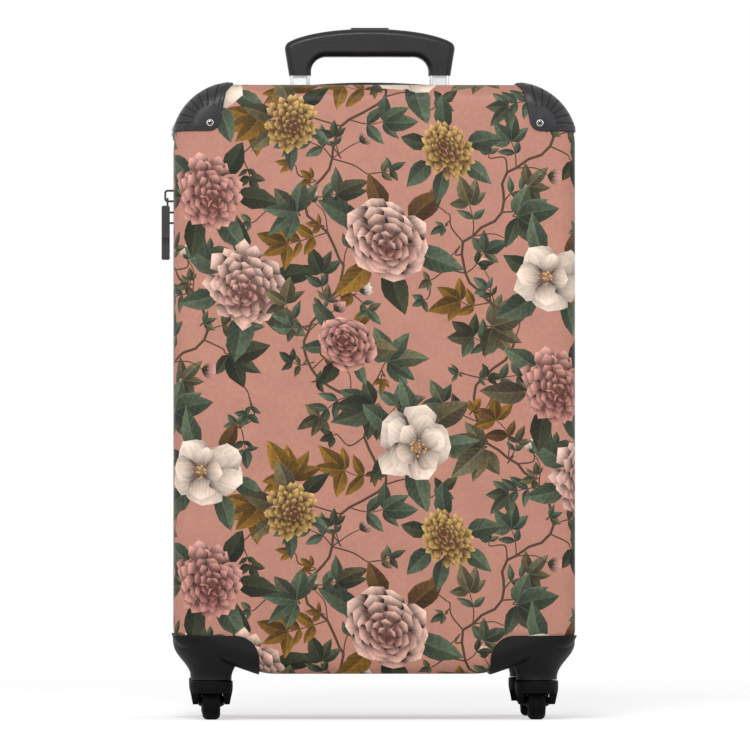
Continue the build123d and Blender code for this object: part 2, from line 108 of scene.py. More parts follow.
# Slots of a wheel's two finishes
TYRE, HUB = range(2)

# Kinds of printed shape, as the print's material tells them apart
GROUND, LEAF, PETAL, STEM, BEAD, TUFT = range(6)
LEAF_FORM = (0.78, 0.95)
PETAL_FORM = (1.35, 0.6)
FRILL_FORM = (1.9, 0.5)
BUD_FORM = (1.1, 0.7)
GOLDEN_TURN = math.radians(137.5)
PRINT_SIZES = ("seed", "tile_width", "tile_height")

# Full blooms: petals, start, reach and half width of each ring as shares, the outer ring first, and then the form,
# ruffle, waves and steps of a petal
FULL_BLOOMS = {
    "garden_rose": (
        ((9, 0.42, 1.0, 0.36), (9, 0.33, 0.85, 0.31), (8, 0.25, 0.69, 0.26), (7, 0.17, 0.53, 0.21),
         (6, 0.08, 0.38, 0.16), (4, 0.0, 0.23, 0.12)), PETAL_FORM, 0.09, 9.0, 5),
    "carnation": (
        ((14, 0.4, 1.0, 0.21), (13, 0.32, 0.85, 0.19), (11, 0.24, 0.7, 0.17), (9, 0.16, 0.54, 0.15),
         (7, 0.08, 0.39, 0.12), (5, 0.0, 0.24, 0.09)), FRILL_FORM, 0.15, 14.0, 4),
    "zinnia": (
        ((19, 0.42, 1.0, 0.15), (17, 0.34, 0.85, 0.14), (15, 0.26, 0.69, 0.13), (12, 0.18, 0.52, 0.11),
         (9, 0.09, 0.36, 0.09), (5, 0.0, 0.2, 0.07)), PETAL_FORM, 0.05, 7.0, 4),
}

# One repeat, in shares of its width and height: climbing stems, and blooms with their radius in millimetres
CLIMBERS = (
    ((0.17, 0.0), (0.23, 0.09), (0.2, 0.17), (0.12, 0.27), (0.19, 0.36), (0.22, 0.47), (0.35, 0.55), (0.3, 0.64),
     (0.28, 0.76), (0.16, 0.82), (0.12, 0.92), (0.17, 1.0)),
    ((0.68, 0.0), (0.6, 0.07), (0.58, 0.17), (0.69, 0.25), (0.7, 0.35), (0.83, 0.42), (0.81, 0.52), (0.73, 0.6),
     (0.63, 0.68), (0.61, 0.8), (0.72, 0.89), (0.68, 1.0)),
)
BLOOMS = (
    (0.36, 0.18, 40, "garden_rose", "blush"), (0.84, 0.08, 34, "dog_rose", "cream"),
    (0.53, 0.41, 28, "zinnia", "ochre"), (0.95, 0.56, 39, "carnation", "blush"),
    (0.08, 0.48, 26, "zinnia", "ochre"), (0.43, 0.66, 36, "dog_rose", "cream"),
    (0.84, 0.8, 36, "carnation", "rose"), (0.24, 0.91, 27, "garden_rose", "rose"),
)
# Sprigs that fill what is left of the ground: room for each in millimetres, and how many
FILLERS = ((27, 9), (17, 16), (9, 20))
FILL_TRIES = 40
# Shares of dry leaves on climbing stems, between them and at blooms
DRY_ON_CLIMBERS, DRY_BETWEEN, DRY_AT_BLOOMS = 0.25, 0.3, 0.15
PRINT_SHIFTS = {"front": (-96, 20), "rear": (60, 140)}
# Marks per metre of the print's washes, dabs and lacquer
WASH, DABS, PEEL = 38.0, 260.0, 600.0

Shape = namedtuple("Shape", "points tint kind origin along across bend", defaults=(0.0,))
finishes = {}


# Small helpers

def linear(hex_colour):
    """Linear RGBA of an sRGB hex value."""
    channels = [int(hex_colour[k : k + 2], 16) / 255 for k in (1, 3, 5)]
    curve = [c / 12.92 if c <= 0.04045 else ((c + 0.055) / 1.055) ** 2.4 for c in channels]
    return (*curve, 1.0)


def node(tree, kind, links=None, **settings):
    """Adds a node with its settings; its inputs take sockets or plain values."""
    made = tree.nodes.new(kind)
    for key, value in settings.items():
        setattr(made, key, value)
    for key, value in (links or {}).items():
        if isinstance(value, bpy.types.NodeSocket):
            tree.links.new(value, made.inputs[key])
        else:
            made.inputs[key].default_value = value
    return made


def calc(tree, operation, *values, **settings):
    """Result of a math node."""
    return node(tree, "ShaderNodeMath", dict(enumerate(values)), operation=operation, **settings).outputs[0]


def ramp(tree, value, low, high, start, end, smooth=False):
    """A value that runs from low to high, carried over to run from start to end."""
    links = dict(enumerate((value, low, high, start, end)))
    way = "SMOOTHSTEP" if smooth else "LINEAR"
    return node(tree, "ShaderNodeMapRange", links, interpolation_type=way).outputs[0]


def noise(tree, place, scale, detail):
    """Cloudy noise at a place."""
    return node(tree, "ShaderNodeTexNoise", {"Vector": place, "Scale": scale, "Detail": detail}).outputs[0]


def scaled(tree, vector, factor):
    """A vector or colour times a factor."""
    return node(tree, "ShaderNodeVectorMath", {0: vector, 3: factor}, operation="SCALE").outputs[0]


def size_of(tree, vector):
    """Length of a vector."""
    return node(tree, "ShaderNodeVectorMath", {0: vector}, operation="LENGTH").outputs["Value"]


def upward(tree, height):
    """A vector along Z."""
    return node(tree, "ShaderNodeCombineXYZ", {2: height}).outputs[0]


def spot_of(tree):
    """Place on the object, in metres."""
    return node(tree, "ShaderNodeTexCoord").outputs["Object"]


def relief(tree, shader, strength, depth, height):
    """Fine relief on a shader, from a height and its depth in metres."""
    links = {"Strength": strength, "Distance": depth, "Height": height}
    tree.links.new(node(tree, "ShaderNodeBump", links).outputs[0], shader.inputs["Normal"])


def start_tree(name, inputs):
    """A Geometry Nodes tree with named inputs, and the sockets that give them."""
    tree = bpy.data.node_groups.new(name, "GeometryNodeTree")
    sockets = [("Geometry", "OUTPUT", "Geometry"), ("Geometry", "INPUT", "Geometry")]
    for key, way, kind in sockets + [(key, "INPUT", kind) for key, kind in inputs.items()]:
        tree.interface.new_socket(key, in_out=way, socket_type="NodeSocket" + kind)
    return tree, node(tree, "NodeGroupInput").outputs


def new_piece(name, places, faces, *materials):
    """A mesh piece at the origin, from places in metres."""
    mesh = bpy.data.meshes.new(name)
    mesh.from_pydata([tuple(p) for p in places], [], faces, shade_flat=False)
    for material in materials:
        mesh.materials.append(material)
    piece = bpy.data.objects.new(name, mesh)
    bpy.context.scene.collection.objects.link(piece)
    return piece


def smooth_piece(name, places, faces, *materials):
    """A mesh piece that is smooth but for its sharp edges."""
    piece = new_piece(name, places, faces, *materials)
    piece.data.set_sharp_from_angle(angle=SMOOTH_ANGLE)
    return piece


def settle(piece, body, slot, *replaced):
    """Fixes a finished piece to its body and hides the nodes that it stands for; its material slot is not used."""
    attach(piece, body)
    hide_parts(*replaced)
    return piece


def seeds(points, edges=()):
    """A mesh of bare points and edges, from places in metres."""
    mesh = bpy.data.meshes.new("seeds")
    mesh.from_pydata([tuple(p) for p in points], edges, [])
    return mesh


def sweep_faces(sections, count, around=False):
    """Quads from each section to the next, where every section is a ring of as many points."""
    faces = []
    for k in range(sections if around else sections - 1):
        near, far = k * count, (k + 1) % sections * count
        faces += [(near + j, near + (j + 1) % count, far + (j + 1) % count, far + j) for j in range(count)]
    return faces


def grown(name, seed_mesh, tree, inputs):
    """Runs a Geometry Nodes tree on a seed mesh, and gives the result as a plain mesh piece."""
    piece = bpy.data.objects.new(name, seed_mesh)
    bpy.context.scene.collection.objects.link(piece)
    modifier = piece.modifiers.new("growth", "NODES")
    modifier.node_group = tree
    for item in tree.interface.items_tree:
        if item.item_type == "SOCKET" and item.in_out == "INPUT" and item.name in inputs:
            modifier[item.identifier] = inputs[item.name]
    graph = bpy.context.evaluated_depsgraph_get()
    mesh = bpy.data.meshes.new_from_object(piece.evaluated_get(graph))
    mesh.name = name
    shape = bmesh.new()
    shape.from_mesh(mesh)
    bmesh.ops.delete(shape, geom=[point for point in shape.verts if not point.link_faces], context="VERTS")
    shape.to_mesh(mesh)
    shape.free()
    piece.modifiers.clear()
    piece.data = mesh
    bpy.data.meshes.remove(seed_mesh)
    if not mesh.polygons:
        raise RuntimeError(f"{name} came out empty")
    return piece


# The case form, and the flat sheet that folds onto it

def case_arcs():
    """Rounded corners of the case outline: centre, radius and the directions they turn between."""
    slope = math.atan2(WELL_RISE, WELL_RUN)
    side_turn = math.pi / 2 - slope
    floor_x = HALF_WIDTH - WELL_RUN - WELL_FLOOR_RADIUS * math.tan(slope / 2)
    side_z = CASE_FLOOR + WELL_RISE + WELL_SIDE_RADIUS * math.tan(side_turn / 2)
    right = [
        (floor_x, CASE_FLOOR + WELL_FLOOR_RADIUS, WELL_FLOOR_RADIUS, -math.pi / 2, slope - math.pi / 2),
        (HALF_WIDTH - WELL_SIDE_RADIUS, side_z, WELL_SIDE_RADIUS, slope - math.pi / 2, 0),
        (HALF_WIDTH - CORNER_RADIUS, CASE_TOP - CORNER_RADIUS, CORNER_RADIUS, 0, math.pi / 2),
    ]
    left = [(-x, z, r, math.pi - end, math.pi - start) for x, z, r, start, end in reversed(right)]
    return right + left


def outline(inset, step=ARC_STEP):
    """Points round the case outline, taken in by a margin, and their outward directions."""
    points, ways = [], []
    for x, z, radius, start, end in case_arcs():
        count = math.ceil((end - start) / step)
        for k in range(count + 1):
            turn = start + (end - start) * k / count
            way = np.array((math.cos(turn), math.sin(turn)))
            ways.append(way)
            points.append(np.array((x, z)) + way * (radius - inset))
    return np.array(points), np.array(ways)


def ring(run):
    """Line on the flat sheet at a distance from the flat face."""
    return outline(EDGE_RADIUS - run)[0]


def closed(loop):
    """A loop with its first point again at its end."""
    return np.vstack((loop, loop[:1]))


def on_case(points, lift, half):
    """Places on the case, in metres, of points on the flat sheet, with their outward directions."""
    sheet = np.asarray(points, float)
    rim = outline(EDGE_RADIUS)[0]
    nearest = np.full(len(sheet), np.inf)
    foot = np.zeros_like(sheet)
    inside = np.ones(len(sheet), bool)
    for start, end in zip(rim, np.roll(rim, -1, 0)):
        step = end - start
        rel = sheet - start
        inside &= step[0] * rel[:, 1] - step[1] * rel[:, 0] >= 0
        share = np.clip(rel @ step / (step @ step), 0, 1)
        place = start + share[:, None] * step
        gap = np.linalg.norm(sheet - place, axis=1)
        closer = gap < nearest
        nearest[closer] = gap[closer]
        foot[closer] = place[closer]
    run = np.where(inside, 0, nearest)
    foot = np.where(inside[:, None], sheet, foot)
    way = (sheet - foot) / np.maximum(run, 1e-9)[:, None]
    turn = np.minimum(run / EDGE_RADIUS, math.pi / 2)
    lift = np.broadcast_to(lift, run.shape)
    out = (EDGE_RADIUS + lift) * np.sin(turn)
    back = EDGE_RADIUS - (EDGE_RADIUS + lift) * np.cos(turn) + np.maximum(run - EDGE_RUN, 0)
    facing = FACING[half]
    flat = foot + way * out[:, None]
    places = np.stack((flat[:, 0], facing * (HALF_DEPTH - back), flat[:, 1]), 1) * MM
    ways = np.stack((way[:, 0] * np.sin(turn), facing * np.cos(turn), way[:, 1] * np.sin(turn)), 1)
    return places, ways


def fold_lines(run):
    """Lines that the flat sheet folds along: round the face edge, and across each rounded corner."""
    lines = [closed(ring(EDGE_RUN * k / EDGE_STEPS)) for k in range(EDGE_STEPS + 1)]
    return lines + [np.array(pair) for pair in zip(ring(0), ring(run))]


def divide(faces, lines):
    """Triangles of overlapping flat faces, cut along all their edges, with the faces each lies in."""
    points, edges, loops = [], [], []
    for face in faces:
        start = len(points)
        points.extend(Vector(p) for p in face)
        loops.append(list(range(start, len(points))))
    for line in lines:
        start = len(points)
        points.extend(Vector(p) for p in line)
        edges.extend((k, k + 1) for k in range(start, len(points) - 1))
    places, _, triangles, _, _, owners = delaunay_2d_cdt(points, edges, loops, 1, CUT_EPSILON, True)
    return np.array([tuple(p) for p in places]), np.array(triangles), owners


def used_only(sheet, triangles):
    """The points that triangles use, and the triangles on them."""
    used, triangles = np.unique(triangles, return_inverse=True)
    return sheet[used], triangles.reshape(-1, 3)


def border(triangles):
    """Directed edges that only one triangle has."""
    edges = {(t[k], t[(k + 1) % 3]) for t in triangles.tolist() for k in range(3)}
    return [edge for edge in edges if edge[::-1] not in edges]


def loops_of(edges):
    """Directed edges joined into closed loops."""
    following = dict(edges)
    loops = []
    while following:
        first, here = next(iter(following.items()))
        loop = [first]
        del following[first]
        while here != first:
            loop.append(here)
            here = following.pop(here)
        loops.append(loop)
    return loops


def pressed_tray(name, half, run, lifts, materials, shapes=(), holes=(), lines=(), reshape=None):
    """A closed tray pressed from the flat sheet, with printed shapes on its outside and holes cut through."""
    shapes = list(shapes)
    folds = fold_lines(run) + list(lines)
    sheet, triangles, owners = divide([ring(run)] + [s.points for s in shapes] + list(holes), folds)
    first_hole = 1 + len(shapes)
    kept = [k for k, owner in enumerate(owners) if 0 in owner and max(owner) < first_hole]
    top = np.array([max(owners[k]) - 1 for k in kept])
    sheet, triangles = used_only(sheet, triangles[kept])
    edge = border(triangles)
    loops = [[sheet[k] for k in loop] for loop in loops_of(edge)]
    loops.sort(key=len, reverse=True)
    back, back_triangles, back_owners = divide(loops, folds)
    keep = [k for k, owner in enumerate(back_owners) if 0 in owner and max(owner) == 0]
    back_triangles = back_triangles[keep]
    outside, ways = on_case(sheet, lifts[0], half)
    inside, back_ways = on_case(back, lifts[1], half)
    if reshape:
        outside, inside = reshape(outside, lifts[0]), reshape(inside, lifts[1])
    twin = {tuple(np.round(p, 3)): k for k, p in enumerate(back)}
    shift = len(sheet)
    flip = -FACING[half]
    faces = [tuple(t)[::flip] for t in triangles.tolist()]
    faces += [tuple(k + shift for k in t)[::-flip] for t in back_triangles.tolist()]
    normals = list(ways[[k for f in faces[: len(triangles)] for k in f]])
    normals += list(-back_ways[[k - shift for f in faces[len(triangles) :] for k in f]])
    places = np.vstack((outside, inside))
    for a, b in edge:
        quad = (b, a, shift + twin[tuple(np.round(sheet[a], 3))], shift + twin[tuple(np.round(sheet[b], 3))])
        quad = quad[::flip]
        faces.append(quad)
        corners = places[list(quad)]
        normal = np.cross(corners[1] - corners[0], corners[2] - corners[0])
        normals += [normal / max(np.linalg.norm(normal), 1e-12)] * 4
    used = sorted({k for face in faces for k in face})
    index = {old: new for new, old in enumerate(used)}
    faces = [tuple(index[k] for k in face) for face in faces]
    piece = new_piece(name, places[used], faces, *materials)
    mesh = piece.data
    if len(materials) > 1:
        slots = np.ones(len(faces), np.int32)
        slots[: len(triangles)] = 0
        mesh.polygons.foreach_set("material_index", slots)
    if reshape:
        mesh.set_sharp_from_angle(angle=SMOOTH_ANGLE)
    else:
        mesh.normals_split_custom_set([tuple(n) for n in normals])
    if shapes:
        store_print(mesh, shapes, sheet, np.array(faces[: len(triangles)]), top)
    return piece


def store_print(mesh, shapes, sheet, triangles, top):
    """Keeps, for each printed corner, its tint and its place along and across its own shape."""
    ground = Shape((), (*bpy.context.scene.case_print.ground, 1.0), GROUND, (0, 0), (MM, 0), (0, MM))
    known = shapes + [ground]
    origin, along, across = (np.array([getattr(s, key) for s in known]) for key in ("origin", "along", "across"))
    bend = np.array([s.bend for s in known])
    kind = np.array([s.kind for s in known], float)
    tint = np.array([s.tint for s in known])
    rel = sheet[triangles] - origin[top][:, None, :]
    place = np.zeros((len(mesh.loops), 3), np.float32)
    colour = np.ones((len(mesh.loops), 4), np.float32)
    count = 3 * len(triangles)
    place[:count, 0] = (rel * along[top][:, None, :]).sum(2).ravel()
    beside = (rel * across[top][:, None, :]).sum(2).ravel()
    place[:count, 1] = beside - np.repeat(bend[top], 3) * place[:count, 0] ** 2
    place[:count, 2] = np.repeat(kind[top], 3)
    colour[:count] = np.repeat(tint[top], 3, axis=0)
    mesh.attributes.new("print_place", "FLOAT_VECTOR", "CORNER").data.foreach_set("vector", place.ravel())
    mesh.attributes.new("print_tint", "FLOAT_COLOR", "CORNER").data.foreach_set("color", colour.ravel())


# Motifs of the print, in millimetres on the flat sheet

def toned(tint, factor):
    """A tint made lighter or darker."""
    return (*(min(1.0, c * factor) for c in tint[:3]), 1.0)


def blended(first, second, share):
    """A tint between two others."""
    return (*(a + (b - a) * share for a, b in zip(first[:3], second[:3])), 1.0)


def heading(turn):
    """Unit step in a direction."""
    return np.array((math.cos(turn), math.sin(turn)))


def blade(foot, turn, length, width, form, tint, kind, ruffle=0.0, waves=9.0, phase=0.0, steps=7, bend=0.0):
    """One leaf or petal, widening from its foot and closing at its tip, with its midrib bent to one side."""
    way = heading(turn)
    side = np.array((-way[1], way[0]))
    lead, fullness = form
    points = []
    for k in range(2 * steps):
        share = k / steps if k <= steps else 2 - k / steps
        half = math.sin(math.pi * share**lead) ** fullness if 0 < share < 1 else 0.0
        hand = -1 if k <= steps else 1
        wave = 1 + ruffle * math.sin(waves * share * (1.3 if hand > 0 else 1) + phase)
        reach = share * (1 + 0.5 * ruffle * math.sin(waves * half + phase))
        points.append(foot + way * length * reach + side * (hand * width * half * wave + bend * length * reach**2))
    return Shape(np.array(points), tint, kind, foot, way / length, side / width, bend * length / width)


def bead(centre, radius, tint, sides=8):
    """A small round spot."""
    points = [centre + radius * heading(2 * math.pi * k / sides) for k in range(sides)]
    return Shape(np.array(points), tint, BEAD, centre, np.array((1 / radius, 0)), np.array((0, 1 / radius)))


def tilted(shapes, centre, turn, flatten):
    """Shapes of a bloom seen at a slant: flattened across a direction, about its centre."""
    axis = heading(turn)
    across = np.eye(2) - (1 - flatten) * np.outer(axis, axis)
    back = np.linalg.inv(across).T
    return [
        s._replace(
            points=centre + (s.points - centre) @ across.T,
            origin=centre + across @ (s.origin - centre),
            along=back @ s.along,
            across=back @ s.across,
        )
        for s in shapes
    ]


def flowing(points, steps=7):
    """Smooth line through a few points."""
    padded = [2 * points[0] - points[1], *points, 2 * points[-1] - points[-2]]
    line = []
    for a, b, c, d in zip(padded, padded[1:], padded[2:], padded[3:]):
        for k in range(steps):
            t = k / steps
            curve = 2 * b + (c - a) * t + (2 * a - 5 * b + 4 * c - d) * t**2 + (3 * b - 3 * c + d - a) * t**3
            line.append(curve / 2)
    return line + [points[-1]]


def stem(line, thick, thin, tint):
    """A stalk along a line, thinning to its end."""
    shapes = []
    for k, (a, b) in enumerate(zip(line, line[1:])):
        step = b - a
        length = np.linalg.norm(step)
        side = np.array((-step[1], step[0])) / length
        near = thick + (thin - thick) * k / len(line)
        far = thick + (thin - thick) * (k + 1) / len(line)
        lap = step * 0.06
        points = [a - lap - side * near, b + lap - side * far, b + lap + side * far, a - lap + side * near]
        shapes.append(Shape(np.array(points), tint, STEM, a, step / length**2, side / near))
    return shapes


def ringed_bloom(centre, radius, light, deep, rng, rings, form, ruffle, waves, steps, kind=TUFT):
    """A bloom of petal rings, the outer ring first."""
    shapes = []
    turn = rng.uniform(0, 2 * math.pi)
    facing = heading(rng.uniform(0, 2 * math.pi)) * radius * 0.2
    for level, (count, start, reach, width) in enumerate(rings):
        turn += GOLDEN_TURN
        depth = level / max(1, len(rings) - 1)
        heart = centre + facing * depth
        for k in range(count):
            angle = turn + 2 * math.pi * k / count + rng.uniform(-0.16, 0.16)
            size = radius * rng.uniform(0.86, 1.08)
            shade = 0.45 * depth * rng.uniform(0.5, 1.2) + 0.15 * (1 - math.sin(angle))
            tint = toned(blended(light, deep, min(1.0, shade)), rng.uniform(0.86, 1.12))
            foot = heart + heading(angle) * radius * start
            shapes.append(
                blade(
                    foot, angle, size * (reach - start), radius * width * rng.uniform(0.85, 1.15), form, tint, kind,
                    ruffle, waves, rng.uniform(0, 6), steps, rng.uniform(-0.16, 0.16),
                )
            )
    return shapes


def dog_rose(centre, radius, light, deep, rng, stamen_tint):
    """An open wild rose with a crown of stamens."""
    rings = ((5, 0.04, 1.0, 0.47), (5, 0.03, 0.84, 0.38), (4, 0.02, 0.6, 0.28))
    shade = blended(light, deep, 0.4)
    shapes = ringed_bloom(centre, radius, light, shade, rng, rings, PETAL_FORM, 0.1, 8.0, 8, PETAL)
    heart = shapes[-1].origin
    shapes.append(bead(heart, radius * 0.14, toned(deep, 0.6), 10))
    for k in range(16):
        place = heart + radius * rng.uniform(0.06, 0.24) * heading(k * GOLDEN_TURN)
        shapes.append(bead(place, radius * rng.uniform(0.026, 0.042), toned(stamen_tint, rng.uniform(0.7, 1.3)), 4))
    return shapes


def bud(foot, turn, size, light, leaf_tint):
    """A closed bud in its sepals."""
    shapes = [blade(foot, turn + lean, size, size * 0.32, BUD_FORM, toned(light, 0.7 + 0.1 * k), PETAL, steps=5)
              for k, lean in enumerate((-0.35, 0.35, 0.0))]
    shapes += [blade(foot, turn + lean, size * 0.5, size * 0.12, LEAF_FORM, leaf_tint, LEAF, steps=4)
               for lean in (-0.6, 0.6, 0.0)]
    return shapes


def leaf(foot, turn, length, tint, rng, plump=0.22):
    """A single leaf, pointed and a little bent."""
    return blade(
        foot, turn, length, length * plump * rng.uniform(0.85, 1.2), LEAF_FORM, toned(tint, rng.uniform(0.7, 1.3)),
        LEAF, 0.06, 16.0, rng.uniform(0, 6), 5, rng.uniform(-0.24, 0.24),
    )


def leaf_fan(foot, turn, count, length, tints, rng, spread=2.6):
    """Leaves fanned out round the end of a twig, the outer ones first."""
    order = sorted(range(count), key=lambda k: -abs(k - (count - 1) / 2))
    base = rng.choice(tints)
    shapes = []
    for k in order:
        lean = spread * (k / max(1, count - 1) - 0.5) + rng.uniform(-0.18, 0.18)
        size = length * (1 - 0.22 * abs(lean) / 1.3) * rng.uniform(0.82, 1.12)
        shapes.append(leaf(foot, turn + lean, size, blended(base, rng.choice(tints), rng.uniform(0, 0.6)), rng, 0.24))
    return shapes


def twig(foot, turn, length, pairs, leaf_length, tints, stem_tint, rng, fan=4):
    """A bent twig with leaves along it and a fan of leaves at its end."""
    bend = rng.uniform(-0.7, 0.7)
    points = [foot]
    for k in range(3):
        points.append(points[-1] + heading(turn + bend * k / 2 + rng.uniform(-0.2, 0.2)) * length / 3)
    line = flowing(points, 2)
    shapes = stem(line, 0.62, 0.36, stem_tint)
    tint = rng.choice(tints)
    for k in range(pairs):
        place = line[int((k + 1) * (len(line) - 1) / (pairs + 0.8))]
        angle = turn + bend * (k + 1) / (pairs + 1)
        for hand in (-1, 1):
            lean = angle + hand * rng.uniform(0.6, 1.1)
            shapes.append(leaf(place, lean, leaf_length * rng.uniform(0.6, 0.95), tint, rng))
    return shapes + leaf_fan(line[-1] - heading(turn + bend), turn + bend, fan, leaf_length * 1.15, tints, rng)


def half_drop(columns, rows, size):
    """Steps of the half-drop repeat."""
    return [np.array((column, row + 0.5 * (column % 2))) * size for column in columns for row in rows]


def gap_in_repeat(place, taken, size):
    """Clear distance of a place from the round areas that are taken, over the half-drop repeat."""
    steps = half_drop((-1, 0, 1), (-1, 0, 1), size)
    return min(np.linalg.norm(place - centre - step) - radius for centre, radius in taken for step in steps)


def nearest_in_repeat(place, points, size):
    """The nearest of some points to a place, over the half-drop repeat."""
    steps = half_drop((-1, 0, 1), (-1, 0, 1), size)
    return min((p + step for p in points for step in steps), key=lambda p: np.linalg.norm(p - place))


def print_tile(settings):
    """Shapes of one repeat of the print: branches, leaves that fill the ground, then blooms over them."""
    rng = random.Random(settings.seed)
    size = np.array((settings.tile_width, settings.tile_height)) / MM
    inks = {key: (*getattr(settings, key), 1.0) for key in settings.__annotations__ if key not in PRINT_SIZES}
    greens = (inks["leaf"], inks["leaf"], inks["moss"], inks["sage"])
    dry = (inks["ochre_leaf"], inks["ochre_leaf"], inks["bronze_leaf"])
    taken = [(np.array((x, z)) * size, radius * 0.9) for x, z, radius, _, _ in BLOOMS]
    stalks, leaves, flowers, joints = [], [], [], []
    for points in CLIMBERS:
        line = flowing([np.array(p) * size for p in points], 4)
        knots = [p + np.array((rng.uniform(-1.5, 1.5), rng.uniform(-1.5, 1.5))) for p in line[1:-1]]
        line = [line[0], *knots, line[-1]]
        joints += line
        stalks += stem(line, 1.15, 1.15, inks["stem"])
        for k in range(1, len(line) - 2, 4):
            hand = -1 if (k // 4) % 2 else 1
            ahead = line[k + 1] - line[k]
            turn = math.atan2(ahead[1], ahead[0]) + hand * rng.uniform(0.7, 1.25)
            tints = dry if rng.random() < DRY_ON_CLIMBERS else greens
            reach = rng.uniform(24, 40)
            leaves += twig(line[k], turn, reach, rng.choice((1, 1, 2)), rng.uniform(20, 28), tints, inks["stem"], rng)
            taken.append((line[k] + heading(turn) * reach * 1.2, 22.0))
            if k % 8 == 1:
                way = turn - hand * 1.7
                side = line[k] + heading(way) * 28
                leaves += stem(flowing([line[k], (line[k] + side) / 2 + 3, side], 4), 0.6, 0.36, inks["stem"])
                tall = rng.uniform(10, 14)
                leaves += bud(side, way, tall, inks[rng.choice(("cream", "blush", "rose"))], inks["moss"])
    for radius, count in FILLERS:
        for _ in range(count):
            tries = [np.array((rng.random(), rng.random())) * size for _ in range(FILL_TRIES)]
            place = max(tries, key=lambda p: gap_in_repeat(p, taken, size))
            taken.append((place, radius))
            start = nearest_in_repeat(place, joints, size)
            span = place - start
            turn = math.atan2(span[1], span[0]) + rng.uniform(-0.6, 0.6)
            tints = dry if rng.random() < DRY_BETWEEN else greens
            foot = place - heading(turn) * radius * 0.7
            sway = np.array((-span[1], span[0])) * rng.uniform(-0.22, 0.22)
            line = flowing([start, start + span * 0.4 + sway, foot - heading(turn) * 4, foot], 4)
            joints += line[6::3]
            stalks += stem(line, 0.72, 0.45, inks["stem"])
            if radius > 20:
                leaves += leaf_fan(foot, turn, 6, 36, tints, rng, 3.2)
            elif radius > 10:
                leaves += twig(foot, turn, radius, 1, 14, tints, inks["stem"], rng, 3)
            else:
                leaves += leaf_fan(foot, turn, 3, 13, tints, rng, 2.0)
    for x, z, radius, kind, tint in BLOOMS:
        centre = np.array((x, z)) * size
        start = rng.uniform(0, 2 * math.pi)
        for k in range(6):
            turn = start + k * 2 * math.pi / 6 + rng.uniform(-0.35, 0.35)
            tints = dry if rng.random() < DRY_AT_BLOOMS else greens
            foot = centre + heading(turn) * radius * 0.6
            leaves.append(leaf(foot, turn, radius * rng.uniform(0.8, 1.2), rng.choice(tints), rng, 0.25))
        given = centre, radius, inks[tint], inks[tint + "_deep"], rng
        bloom = dog_rose(*given, inks["ochre"]) if kind == "dog_rose" else ringed_bloom(*given, *FULL_BLOOMS[kind])
        flowers += tilted(bloom, centre, rng.uniform(0, math.pi), rng.uniform(0.76, 0.94))
    return stalks + leaves + flowers


def print_shapes(settings, run, shift):
    """The print's repeats over a whole flat sheet, in half drop."""
    edge = ring(run)
    low, high = edge.min(0), edge.max(0)
    tile = print_tile(settings)
    size = np.array((settings.tile_width, settings.tile_height)) / MM
    shapes = []
    for step in half_drop(range(-3, 3), range(-3, 5), size):
        for shape in tile:
            points = shape.points + (step + shift)
            if (points.max(0) > low).all() and (points.min(0) < high).all():
                shapes.append(shape._replace(points=points, origin=shape.origin + (step + shift)))
    return shapes


# Finishes

def blank_material(name):
    """A material with an empty node tree."""
    material = bpy.data.materials.new(name)
    material.use_nodes = True
    material.node_tree.nodes.clear()
    return material


def start_finish(name):
    """A material with its shader, kept by name."""
    finishes[name] = blank_material(name)
    tree = finishes[name].node_tree
    shader = node(tree, "ShaderNodeBsdfPrincipled")
    node(tree, "ShaderNodeOutputMaterial", {"Surface": shader.outputs[0]})
    return tree, shader


